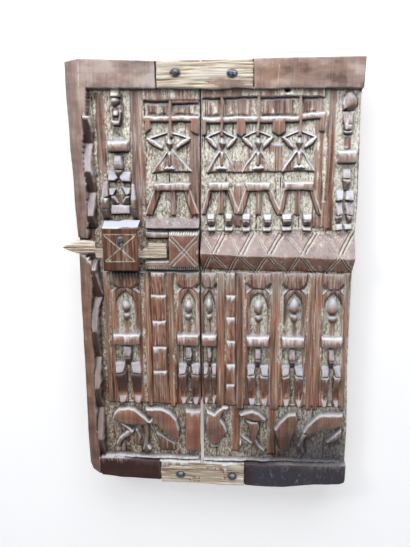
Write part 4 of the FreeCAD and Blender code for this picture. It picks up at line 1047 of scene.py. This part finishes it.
class Shader:
    """Short calls for the nodes of one material."""

    def __init__(self, name):
        self.material = bpy.data.materials.new(name)
        self.material.use_nodes = True
        self.nodes = self.material.node_tree.nodes
        self.surface = self.nodes["Principled BSDF"]
        self.place = self.node("TexCoord", "Object")

    def put(self, socket, value):
        """Links or sets one input."""
        if isinstance(value, Level):
            self.material.node_tree.links.new(value.socket, socket)
        else:
            socket.default_value = value

    def node(self, kind, output, inputs=None, **settings):
        """One output of a new node with these inputs and settings."""
        made = self.nodes.new("ShaderNode" + kind)
        for name, value in settings.items():
            setattr(made, name, value)
        for key, value in (inputs or {}).items():
            self.put(made.inputs[key], value)
        return Level(self, made.outputs[output])

    def attribute(self, name):
        """A named value of the mesh."""
        return self.node("Attribute", "Fac", attribute_name=name)

    def noise(self, scale, detail=4.0, rough=0.55, distortion=0.0):
        """Noise with a scale for each axis."""
        stretched = self.node("Mapping", "Vector", {"Scale": scale, "Vector": self.place})
        return self.node("TexNoise", "Fac", {"Vector": stretched, "Scale": 1.0, "Detail": detail,
                                             "Roughness": rough, "Distortion": distortion})

    def math(self, operation, a, b):
        """One sum."""
        return self.node("Math", "Value", {0: a, 1: b}, operation=operation)

    def facing_up(self):
        """How far the surface faces up, from -1 to 1."""
        return self.node("SeparateXYZ", "Z", {"Vector": self.node("NewGeometry", "Normal")})

    def ramp(self, value, *stops):
        """A ramp of colours; each stop is a place and a colour in 0 to 255."""
        made = self.node("ValToRGB", "Color", {"Fac": value})
        ramp = made.socket.node.color_ramp
        ramp.interpolation = "EASE"
        while len(ramp.elements) < len(stops):
            ramp.elements.new(0.5)
        for element, (place, *colour) in zip(ramp.elements, stops):
            element.position = place
            element.color = tint(*colour)
        return made

    def mix(self, share, a, b, kind="MIX"):
        """Two colours, mixed."""
        return self.node("Mix", "Result", {"Factor": share, "A": a, "B": b}, data_type="RGBA",
                         blend_type=kind)

    def bump(self, value, depth, under=None):
        """A bump, in millimetres, over another."""
        inputs = {"Height": value, "Strength": 1.0, "Distance": depth / MM}
        if under is not None:
            inputs["Normal"] = under
        return self.node("Bump", "Normal", inputs)

    def finished(self, inputs):
        """The material, once its surface has these inputs."""
        for key, value in inputs.items():
            self.put(self.surface.inputs[key], value)
        return self.material


def carved_wood():
    """Old reddish hardwood with a worn sheen and a pale crust in its hollows, with painted highlights on
    upper slopes and edges and painted shade under forms and in hollows.
    """
    s = Shader("carved_wood")
    fibre = s.noise((420, 420, 14), 5, 0.6)
    streak = s.noise((95, 95, 4.5), 4, 0.55, 0.3)
    mottle = s.noise((52, 52, 34), 5, 0.65)
    speck = s.noise((330, 330, 170), 5, 0.7, 0.2)
    patch = s.noise((13, 13, 9), 4, 0.6)
    other = s.noise((22, 30, 14), 4, 0.6)
    age, bare, warm, wear, dirt, chalk = map(s.attribute, "age bare warm wear dirt chalk".split())
    soot, dust, slate, shade = map(s.attribute, "soot dust slate shade".split())
    gloom, pale, planed = map(s.attribute, "gloom pale planed".split())
    grain = fibre * 0.5 + streak * 0.5
    cloud = s.noise((16, 16, 34), 5, 0.6)
    grain = s.mix(planed * 0.72, grain, cloud + 0.03)
    brown = s.ramp(grain, (0.35, 56, 32, 25), (0.45, 112, 74, 58), (0.54, 156, 114, 92),
                   (0.66, 200, 168, 146))
    orange = s.ramp(grain, (0.36, 76, 38, 24), (0.49, 150, 88, 60), (0.64, 204, 150, 116))
    grey = s.ramp(grain, (0.36, 96, 80, 80), (0.49, 152, 136, 134), (0.64, 206, 194, 188))
    redder = (other.above(0.5, 6.0) + warm * 0.7).kept()
    wood = s.mix(redder, brown, orange)
    worn = ((patch - 0.5) * 3.2 + (age * 1.1 - 0.45)).kept()
    worn = (worn * (1.0 - warm * 0.8)).kept()
    wood = s.mix(worn, wood, grey)
    olive = (s.noise((26, 26, 11), 4, 0.6).above(0.5, 5.0) * (0.55 - warm * 0.5)).kept()
    wood = s.mix(olive, wood, s.ramp(grain, (0.36, 84, 68, 54), (0.5, 146, 130, 110), (0.66, 196, 184, 166)))
    wood = s.mix(planed * 0.34, wood, tint(144, 130, 126))
    wood = s.mix(warm * 0.3, wood, tint(140, 78, 52))
    # lighter wood towards the head and the right, partly painted light
    light = (pale - 0.56).kept() * 0.95
    wood = s.mix(light, wood, s.ramp(grain, (0.38, 128, 98, 84), (0.5, 188, 158, 142), (0.62, 222, 204, 192)))
    dusty = s.ramp(speck + (pale - 0.55) * 0.2, (0.32, 70, 52, 40), (0.43, 146, 131, 110),
                   (0.52, 192, 182, 163), (0.62, 243, 239, 229))
    cover = (mottle - 0.5) * 3.0 + (streak - 0.5) * 2.2 + (pale - 0.5) * 0.55
    crust_here = (cover - bare * 1.22).above(-0.55, 2.6)
    colour = s.mix(crust_here, wood, dusty)
    lines = ((1.75 - bare) * 0.6).kept()
    lines = (lines * (1.0 - planed * 1.5)).kept()
    pale_lines = s.noise((210, 210, 7.0), 3, 0.6).above(0.57, 9.0)
    colour = s.mix(pale_lines * (lines * (pale + 0.2)), colour, tint(226, 220, 208))
    dark_lines = s.noise((240, 240, 9.0), 3, 0.6).above(0.58, 9.0)
    colour = s.mix(dark_lines * lines, colour, tint(50, 34, 28))
    # painted highlight on up-facing slopes, partly dust, and painted shade on down-facing ones
    colour = s.mix(dust * (pale * 0.45 + 0.42), colour, tint(208, 213, 227))
    colour = s.mix(shade * 0.75, colour, tint(58, 34, 27))
    # painted highlight on the upper edges, partly wear
    edge = (wear * (mottle + 0.5)).kept()
    edge = (edge * (pale * 0.5 + 0.65)).kept()
    colour = s.mix(edge, colour, tint(240, 236, 232))
    # painted shade under forms and in hollows
    colour = s.mix(dirt * 0.85, colour, tint(34, 22, 19))
    # soot, and painted shade in grooves, in the seam, in the ancestor's recess and under the lock
    colour = s.mix(soot, colour, tint(24, 17, 16))
    # darker wood, and painted shade on down-facing legs and under the lock
    colour = s.mix(gloom, colour, tint(96, 78, 78), "MULTIPLY")
    colour = s.mix(slate * 0.65, colour, tint(62, 66, 78))
    silver = s.noise((120, 60, 60), 5, 0.7, 1.2).above(0.58, 7.0)
    colour = s.mix(slate * silver * 0.55, colour, tint(176, 186, 206))
    crumbs = ((speck - 0.5) * 4.0 + 0.75).kept() * (1.0 - gloom * 0.35)
    colour = s.mix(chalk * crumbs, colour, tint(234, 230, 216))
    rough = (crust_here * 0.38 + fibre * 0.3 + 0.32).kept()
    normal = s.bump(mottle, 0.6, s.bump(speck * crust_here, 0.6, s.bump(fibre, 0.5)))
    return s.finished({"Base Color": colour, "Roughness": rough, "Specular IOR Level": 0.28,
                       "Normal": normal})


def pale_wood():
    """Weathered pale wood with raised wavy grain along X."""
    s = Shader("pale_wood")
    grain = s.noise((9, 150, 420), 4, 0.62, 0.8)
    fine = s.noise((22, 400, 900), 3, 0.6, 0.3)
    patch = s.noise((20, 20, 30), 4, 0.6)
    colour = s.ramp(grain * 0.65 + fine * 0.35, (0.34, 80, 58, 42), (0.43, 148, 124, 98),
                    (0.51, 202, 186, 164), (0.64, 244, 240, 230))
    warm = patch.above(0.48, 5.0) * (1.0 - s.attribute("grey"))
    colour = s.mix(warm * 0.5, colour, tint(196, 144, 104), "MULTIPLY")
    # pale raised grain, and on the bolt a painted highlight along the head's upper edge
    colour = s.mix(s.attribute("wear") * 0.5, colour, tint(238, 232, 220))
    colour = s.mix(s.attribute("soot"), colour, tint(24, 22, 24))
    normal = s.bump(fine, 0.4, s.bump(grain, 1.3))
    return s.finished({"Base Color": colour, "Roughness": fine * 0.3 + 0.42, "Normal": normal})


def forged_iron():
    """Blue-grey hand-forged iron with rust in its hollows."""
    s = Shader("forged_iron")
    hammered = s.noise((260, 260, 260), 4, 0.6)
    fine = s.noise((900, 900, 900), 3, 0.6)
    colour = s.ramp(hammered, (0.34, 24, 24, 28), (0.52, 74, 84, 98), (0.72, 150, 166, 182))
    colour = s.mix(fine.above(0.55, 4.0), colour, tint(78, 48, 34))
    # a painted highlight on the faces that look up
    colour = s.mix(s.facing_up().above(0.15, 1.6) * 0.5, colour, tint(186, 198, 216))
    normal = s.bump(fine, 0.5, s.bump(hammered, 1.2))
    return s.finished({"Base Color": colour, "Metallic": 0.45, "Roughness": fine * 0.4 + 0.28,
                       "Normal": normal})


CARVED = carved_wood()
PALE = pale_wood()
IRON = forged_iron()


def dress(piece, material, body, slot, *nodes):
    """Gives a piece its material, its body and the CAD nodes that it stands for."""
    piece.data.materials.clear()
    piece.data.materials.append(material)
    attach(piece, body)
    if nodes:
        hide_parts(*nodes)


def relief_front(x, z):
    """The carved front's height."""
    return sample(height, x, z)


flat_head = edge_line(((-6, 1001), (47, 1006), (300, 998.5), (620, 998), (650, 1000), (1000, 999.5)),
                      flip=True)
left_edges = (edge_line(EDGE_LEFT), seam_line(-1), edge_line(FOOT_LEFT, flip=True), flat_head)
right_edges = (seam_line(1), edge_line(EDGE_RIGHT), edge_line(FOOT_RIGHT, flip=True), flat_head)
seam = edge_line(SEAM)


def seam_shade(co):
    """Painted shade, near black, on the sides of the seam."""
    return np.where((np.abs(co[:, 0] - seam(co[:, 2])) < 9) & (co[:, 1] < -1), 0.97, 0)


CARVED_MAPS = {"age": (age, 0.5), "bare": (bare, 1.2), "warm": (warm, 0.2), "wear": (wear, 0.0),
               "dirt": (dirt, 0.0), "chalk": (chalk, 0.0), "soot": (soot, seam_shade), "dust": (dust, 0.0),
               "slate": (slate, 0.0), "shade": (shade, 0.0), "gloom": (gloom, 0.0), "pale": (pale, 0.5),
               "planed": (planed, 0.0)}
for side, edges, seed, undercut in (
    ("left", left_edges, 11, lambda z: 0.16 * step_up(-z, -SPREAD_Z, 6 - SPREAD_Z) - 0.075),
    ("right", right_edges, 12, None),
):
    plank = slab(f"{side}_plank_carved", edges, relief_front, 0.2, MESH_STEP, CARVED_MAPS, seed,
                 undercut=undercut)
    thin_out(plank)
    dress(plank, CARVED, "door", "carved_wood", f"{side}_plank")


# Battens


def nail_places(group):
    """The middle of each nail of a group, in millimetres across and up."""
    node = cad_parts[group]
    points = np.array([v.co for v in node.data.vertices]) * MM
    split = (points[:, 0].min() + points[:, 0].max()) / 2
    if np.ptp(points[:, 0]) < 20:
        return [(split, (points[:, 2].min() + points[:, 2].max()) / 2)]
    sides = (points[points[:, 0] < split], points[points[:, 0] >= split])
    return [((p[:, 0].min() + p[:, 0].max()) / 2, (p[:, 2].min() + p[:, 2].max()) / 2) for p in sides]


def batten(name, node, sags, seed):
    """A hand-cut batten with raised, wavy grain."""
    low, high = box_mm(node)
    tall = high[2] - low[2]
    wander = noise(seed, 30, 400)
    places = (low[0], (low[0] + high[0]) / 2, high[0])
    foot_values = (low[2] + tall * sags[0], low[2] + tall * sags[1], low[2])
    head_values = (high[2], high[2], high[2] - tall * sags[2])

    def foot(x):
        return np.interp(x, places, foot_values) + 0.4 + 0.4 * sample(wander, x, 0 * x)

    def head(x):
        return np.interp(x, places, head_values) - 0.6 + 0.5 * sample(wander, x, 0 * x + 60)

    def left(z):
        return low[0] + 0.5 + 0.3 * np.sin(z * 0.23)

    def right(z):
        return high[0] - 0.5 + 0.3 * np.sin(z * 0.31 + 1)

    waves = noise(seed + 1, 34, 2.6) * 0.42 + noise(seed + 2, 60, 7.0) * 0.5 + noise(seed + 3, 9, 1.4) * 0.14
    stain = np.zeros(SHAPE, np.float32)
    for x0, z0 in nail_places(f"{node}_nails"):
        reach = np.hypot((GRID_X - x0) / 1.25, GRID_Z - z0 + 0.8)
        stain = np.maximum(stain, 0.9 * (1 - step_up(reach, 5.5, 9.0)))

    def front(x, z):
        return -low[1] - 0.9 + np.clip(sample(waves, x, z), -2, 1.0)

    maps = {"soot": (stain, 0.0), "wear": (unit(waves), 0.0)}
    piece = slab(name, (left, right, foot, head), front, -high[1] + 0.1, 0.8, maps,
                 rim_round=1.8, seed=seed)
    dress(piece, PALE, "door", "pale_wood", node)


batten("top_batten_hewn", "top_batten", (0.06, 0.02, 0.03), 31)
batten("bottom_batten_hewn", "bottom_batten", (0.06, 0.02, 0.03), 41)


# Lock and bolt


def cut_box(piece, low, high):
    """Cuts a box out of a piece; corners in millimetres."""
    mesh = bpy.data.meshes.new("cutter")
    corners = [(x / MM, y / MM, z / MM) for z in (low[2], high[2]) for y in (low[1], high[1])
               for x in (low[0], high[0])]
    mesh.from_pydata(corners, [], [(0, 2, 3, 1), (4, 5, 7, 6), (0, 1, 5, 4), (2, 6, 7, 3), (0, 4, 6, 2),
                                   (1, 3, 7, 5)])
    cutter = added("cutter", mesh)
    modifier = piece.modifiers.new("cut", "BOOLEAN")
    modifier.operation = "DIFFERENCE"
    modifier.solver = "MANIFOLD"
    modifier.object = cutter
    apply(piece, modifier)
    bpy.data.objects.remove(cutter)


MARK_WIDTH, MARK_DEPTH = 1.8, 0.8


def lock():
    """The lock body: a sloped head, incised lines, a channel for the bolt and two slots."""
    low, high = LOCK_LOW, LOCK_HIGH
    face = -low[1] - 0.3
    slope_height, slope_depth = 11.0, 26.0
    marks = np.zeros(SHAPE, np.float32)

    def incise(points):
        cells, distance, _ = near_shape(points, MARK_WIDTH, False)
        marks[cells] = np.maximum(marks[cells], unit(1 - 2 * distance / MARK_WIDTH))

    top, foot = 627.5, 564.5
    incise([(113, top), (227, top)])
    incise([(119, foot), (222, foot + 1)])
    incise([(116.5, top - 3), (222.5, foot + 2)])
    incise([(225.5, top - 3), (118, foot + 2)])
    grain = 0.22 * noise(51, 2.0, 40) + 0.35 * noise(52, 18, 30)
    hollow = noise(53, 14, 14)

    def front(x, z):
        slope = unit((high[2] - z) / slope_height)
        base = face - slope_depth * (1 - slope)
        flat = slope >= 1
        cut = np.clip(sample(grain, x, z), -1.2, 0.3) - MARK_DEPTH * sample(marks, x, z)
        return base + cut * flat + 0.3 * np.clip(sample(hollow, x, z), -1, 0.5)

    waves = noise(54, 12, 200)
    left, right = (lambda z: low[0] + 1.9 + 0.25 * np.sin(z * 0.2),
                   lambda z: high[0] + 4.0 + 0.25 * np.sin(z * 0.17))
    below, above = (lambda x: low[2] + 0.4 + 0 * x, lambda x: high[2] - 1.0 + 0.8 * sample(waves, x, 0 * x))
    slope_foot = high[2] - slope_height + 0.9 * waves
    sloped = step_up(GRID_Z - slope_foot, -0.5, 0.5)
    nail_x, nail_z = nail_places("lock_nail")[0]
    hole = 0.95 * (1 - step_up(np.hypot(GRID_X - nail_x - 1.0, (GRID_Z - nail_z - 9.0) / 1.6), 1.4, 2.6))
    lip = np.exp(-((GRID_Z - high[2] + slope_height) / 0.8) ** 2)
    between = step_up(GRID_Z, Z(foot) - 1, Z(foot) + 1) * step_up(-GRID_Z, -Z(top) - 1, 1 - Z(top))
    darker = 0.56 - 0.22 * between
    # painted shade along the lowest edge of the lock's front
    under = 0.85 * step_up(-GRID_Z, -low[2] - 3.4, -low[2] - 2.0)
    # the sloped head takes a painted highlight, and the lip under it a pale line of wear and painted
    # highlight
    maps = {"age": (age - 0.45, 0.2), "bare": (PLANED - 1.02 * between, PLANED),
            "warm": (0.25 - 0.1 * between, 0.3), "wear": (0.5 * lip, 0.0),
            "chalk": (0.95 * unit(1.6 * marks), 0.0), "soot": (np.maximum(hole, under), 0.0),
            "dust": (1.5 * sloped, 0.0), "gloom": (darker * (1 - sloped), 0.6),
            "pale": (np.full(SHAPE, 0.5, np.float32), 0.5)}
    piece = slab("lock_block", (left, right, below, above), front, -high[1] + 0.1, 0.7,
                 maps, rim_round=1.6, seed=55, back_wave=0.2, undercut=lambda z: 0.22 + 0 * z)
    bolt_face = -BOLT_LOW[1]
    channel_low, channel_high = BOLT_FOOT - BOLT_CLEARANCE, BOLT_HEAD + BOLT_CLEARANCE
    cut_box(piece, (low[0] - 5, -(bolt_face + BOLT_CLEARANCE), channel_low),
            (high[0] + 5, -high[1] + 30, channel_high))
    for number in (1, 2):
        pin_low, pin_high = box_mm(f"tumbler_{number}")
        cut_box(piece, (pin_low[0] - PIN_GAP, pin_low[1] - PIN_GAP, channel_high - 1),
                (pin_high[0] + PIN_GAP, -high[1] + 30, pin_high[2] + PIN_LIFT))
    dress(piece, CARVED, "door", "carved_wood", "lock_body")


lock()


def bolt():
    """The bolt: a leaf-shaped head with a worn middle line, a plain shank and a wide tail."""
    tip, end = BOLT_LOW[0], BOLT_HIGH[0]
    head_end, shank_end = HEAD_END, HEAD_END + SHANK_LENGTH
    point_foot = ((0.0, 0.46), (0.13, 0.31), (0.28, 0.165), (0.47, 0.03), (0.68, 0.005), (0.985, 0.1))
    point_head = ((0.0, 0.48), (0.09, 0.61), (0.18, 0.72), (0.37, 0.91), (0.61, 0.99), (0.85, 0.94),
                  (0.99, 0.87))
    base = HEAD_FOOT
    foot_places = [(tip + HEAD_LENGTH * a, base + HEAD_WIDTH * b + 0.15) for a, b in point_foot]
    foot_places += [(head_end + 0.4, BOLT_FOOT + 0.25), (end, BOLT_FOOT + 0.25)]
    head_places = [(tip + HEAD_LENGTH * a, base + HEAD_WIDTH * b - 0.15) for a, b in point_head]
    head_places += [(head_end + 0.6, BOLT_HEAD - 0.25)]
    for number in (1, 2):
        pin_low, pin_high = box_mm(f"tumbler_{number}")
        left, right = pin_low[0] - PIN_GAP + BOLT_TRAVEL, pin_high[0] + PIN_GAP + BOLT_TRAVEL
        head_places += [(left - 0.3, BOLT_HEAD - 0.25), (left, BOLT_HEAD - NOTCH_DEPTH),
                        (right, BOLT_HEAD - NOTCH_DEPTH), (right + 0.3, BOLT_HEAD - 0.25)]
    head_places += [(shank_end - 0.6, BOLT_HEAD - 0.25), (shank_end, BOLT_FOOT + TAIL_WIDTH - 0.3),
                    (end, BOLT_FOOT + TAIL_WIDTH - 0.6)]
    head_places.sort()
    fx, fz = zip(*foot_places)
    hx, hz = zip(*head_places)
    spine_x = (tip, tip + 12, head_end - 6)
    spine_z = (base + HEAD_WIDTH * 0.47, base + HEAD_WIDTH * 0.46, base + HEAD_WIDTH * 0.48)
    waves = noise(61, 30, 1.8) * 0.25 + noise(62, 40, 6) * 0.35

    def front(x, z):
        on_head = 1 - step_up(x, head_end - 5, head_end)
        beside = np.abs(z - np.interp(x, spine_x, spine_z))
        fall, crease = beside / 12.5, np.exp(-(beside / 0.9) ** 2)
        top = -BOLT_LOW[1] - 0.5
        shape = top - on_head * (3.6 * unit(fall) ** 1.3 + 1.3 * crease)
        inside = step_up(x, head_end - 2, head_end + 4) * (1 - step_up(x, shank_end - 2, shank_end))
        return shape + np.clip(sample(waves, x, z), -1, 0.4) * (1 - 0.6 * inside)

    edges = (lambda z: tip + 0.3 + 0 * z, lambda z: end - 0.4 + 0 * z, lambda x: np.interp(x, fx, fz),
             lambda x: np.interp(x, hx, hz))
    line = np.zeros(SHAPE, np.float32)
    cells, x, z = window(tip, head_end, base, base + 26)
    spine = np.interp(x, spine_x, spine_z)
    line[cells] = 0.75 * np.exp(-((z - spine) / 0.8) ** 2) * (1 - step_up(x, tip + 18, tip + 30))
    # a painted highlight along the upper edge of the bolt's head
    lit = np.where(GRID_X < head_end, 1.3 * step_up(GRID_Z - np.interp(GRID_X, hx, hz), -6.0, -1.0), 0.2)
    piece = slab("bolt_carved", edges, front, -BOLT_HIGH[1] + 0.15, 0.6,
                 {"soot": (line, 0.0), "wear": (lit, 0.0), "grey": (np.ones(SHAPE, np.float32), 1.0)},
                 rim_round=1.0, seed=63, back_wave=0.1)
    dress(piece, PALE, "bolt", "pale_wood", "bolt")


bolt()


# Nails


def nail(bm, x, z, face, top, radius, stretch, lean, seed):
    """One forged nail: a hammered head on a shank."""
    rng = np.random.default_rng(seed)
    sides = 18
    bumps = np.convolve(np.tile(rng.standard_normal(sides), 3), (0.3, 0.4, 0.3), "same")
    bumps = 1 + 0.1 * bumps[sides:2 * sides]
    rise = top - face
    rings = ((0.02, 1.0), (0.35, 0.97), (0.62, 0.82), (0.86, 0.52), (1.0, 0.16), (0.96, -0.04), (0.36, -0.05),
             (0.34, -0.6), (0.33, -6.0), (0.2, -9.0))
    loops = []
    for share, level in rings:
        loop = []
        for k in range(sides):
            angle = 2 * math.pi * k / sides
            reach = radius * share * (bumps[k] if share > 0.5 else 1.0)
            px = x + reach * math.cos(angle) * stretch + lean[0] * max(level, 0)
            pz = z + reach * math.sin(angle) + lean[1] * max(level, 0)
            py = face + (rise * level if level > -1 else level)
            facet = 0.25 * rng.standard_normal() if 0.3 < share < 0.95 and level > 0 else 0.0
            loop.append(bm.verts.new((px / MM, -(py + facet) / MM, pz / MM)))
        loops.append(loop)
    for first, second in zip(loops, loops[1:]):
        for k in range(sides):
            bm.faces.new((first[k], second[k], second[(k + 1) % sides], first[(k + 1) % sides]))
    bm.faces.new(list(reversed(loops[0])))
    bm.faces.new(loops[-1])


def nails(name, node, kinds):
    """The nails of one group."""
    face = -box_mm(node)[0][1]
    bm = bmesh.new()
    for (x, z), (radius, stretch, lean, seed) in zip(nail_places(node), kinds):
        nail(bm, x, z, face - 3.8, face - 0.1, radius, stretch, lean, seed)
    bmesh.ops.recalc_face_normals(bm, faces=bm.faces)
    mesh = bpy.data.meshes.new(name)
    bm.to_mesh(mesh)
    bm.free()
    dress(added(name, mesh), IRON, "door", "forged_iron", node)


nails("top_nails_forged", "top_batten_nails", ((5.2, 1.0, (0.6, 0.0), 71), (5.0, 1.7, (0.8, -0.4), 72)))
nails("bottom_nails_forged", "bottom_batten_nails", ((5.2, 1.15, (0.8, 0.0), 73),
                                                     (5.0, 1.25, (0.5, 0.3), 74)))
nails("lock_nail_forged", "lock_nail", ((9.4, 0.6, (0.0, 1.0), 75),))

for number in (1, 2):
    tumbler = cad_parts[f"tumbler_{number}"]
    tumbler.data.materials.clear()
    tumbler.data.materials.append(IRON)


# Stage, lights and camera


WALL_GLOW = 0.37
WALL_GAP, FLOOR_Z = 0.03, -1.2


def white_surface(name, backless):
    """A pale studio surface that shows white and keeps shadows."""
    s = Shader(name)
    path = s.nodes.new("ShaderNodeLightPath").outputs
    seen = (Level(s, path["Is Camera Ray"]) + Level(s, path["Is Glossy Ray"])).kept()
    white = s.finished({"Base Color": (0.8, 0.8, 0.81, 1), "Roughness": 0.9, "Specular IOR Level": 0.1,
                        "Emission Color": (1, 1, 1, 1), "Emission Strength": seen * WALL_GLOW})
    if backless:
        blend = s.node("MixShader", "Shader", {"Fac": s.node("NewGeometry", "Backfacing"),
                                               1: Level(s, s.surface.outputs["BSDF"]),
                                               2: s.node("BsdfTransparent", "BSDF")})
        s.put(s.nodes["Material Output"].inputs["Surface"], blend)
    return white


def plane(name, corners, material):
    """A flat staged surface."""
    mesh = bpy.data.meshes.new(name)
    mesh.from_pydata(corners, [], [(0, 1, 2, 3)])
    mesh.materials.append(material)
    piece = added(name, mesh)
    return piece


wall = plane("wall", [(-3, WALL_GAP, FLOOR_Z), (3, WALL_GAP, FLOOR_Z), (3, WALL_GAP, 2.5),
                      (-3, WALL_GAP, 2.5)], white_surface("wall_white", True))
wall.visible_shadow = False
plane("floor", [(-3, -3, FLOOR_Z), (3, -3, FLOOR_Z), (3, 3, FLOOR_Z), (-3, 3, FLOOR_Z)],
      white_surface("floor_white", False))


def lamp(name, place, aim, size, power, colour=(1, 1, 1)):
    """A soft rectangular lamp that points at a place."""
    light = bpy.data.lights.new(name, "AREA")
    light.shape = "RECTANGLE"
    light.size, light.size_y = size
    light.energy = power
    light.color = colour
    holder = added(name, light)
    holder.location = place
    holder.rotation_euler = (Vector(aim) - Vector(place)).to_track_quat("-Z", "Y").to_euler()


lamp("overhead", (0.15, -0.8, 1.45), (0.05, 0, 0), (1.8, 1.0), 29, (0.96, 0.98, 1.0))
lamp("key", (-0.95, -1.2, 0.9), (0, 0, 0), (0.4, 0.4), 8.5, (1.0, 0.99, 0.97))
lamp("behind", (0.3, 1.6, 0.6), (0, 0, 0), (1.2, 1.2), 18)

world = bpy.context.scene.world or bpy.data.worlds.new("studio")
bpy.context.scene.world = world
world.use_nodes = True
backdrop = world.node_tree.nodes["Background"]
backdrop.inputs["Color"].default_value = (0.8, 0.83, 0.88, 1)
backdrop.inputs["Strength"].default_value = 0.32

# The camera stands where the photograph was taken from
EYE = Vector((0.0585, -0.9767, 0.2454))
PITCH, YAW, ROLL = math.radians(13.15), math.radians(4.44), math.radians(-0.53)
FOCUS_PIXELS, IMAGE_WIDTH, SENSOR = 560.0, 410.0, 36.0
forward = Vector((-math.sin(YAW) * math.cos(PITCH), math.cos(YAW) * math.cos(PITCH), -math.sin(PITCH)))
level_right = forward.cross(Vector((0, 0, 1))).normalized()
level_up = level_right.cross(forward)
right = level_right * math.cos(ROLL) + level_up * math.sin(ROLL)
up = right.cross(forward)
camera_data = bpy.data.cameras.new("camera")
camera_data.sensor_fit = "HORIZONTAL"
camera_data.sensor_width = SENSOR
camera_data.lens = SENSOR * FOCUS_PIXELS / IMAGE_WIDTH
camera = added("camera", camera_data)
camera.matrix_world = Matrix.Translation(EYE) @ Matrix((right, up, -forward)).transposed().to_4x4()
bpy.context.scene.camera = camera
bpy.context.scene.view_settings.view_transform = "Standard"
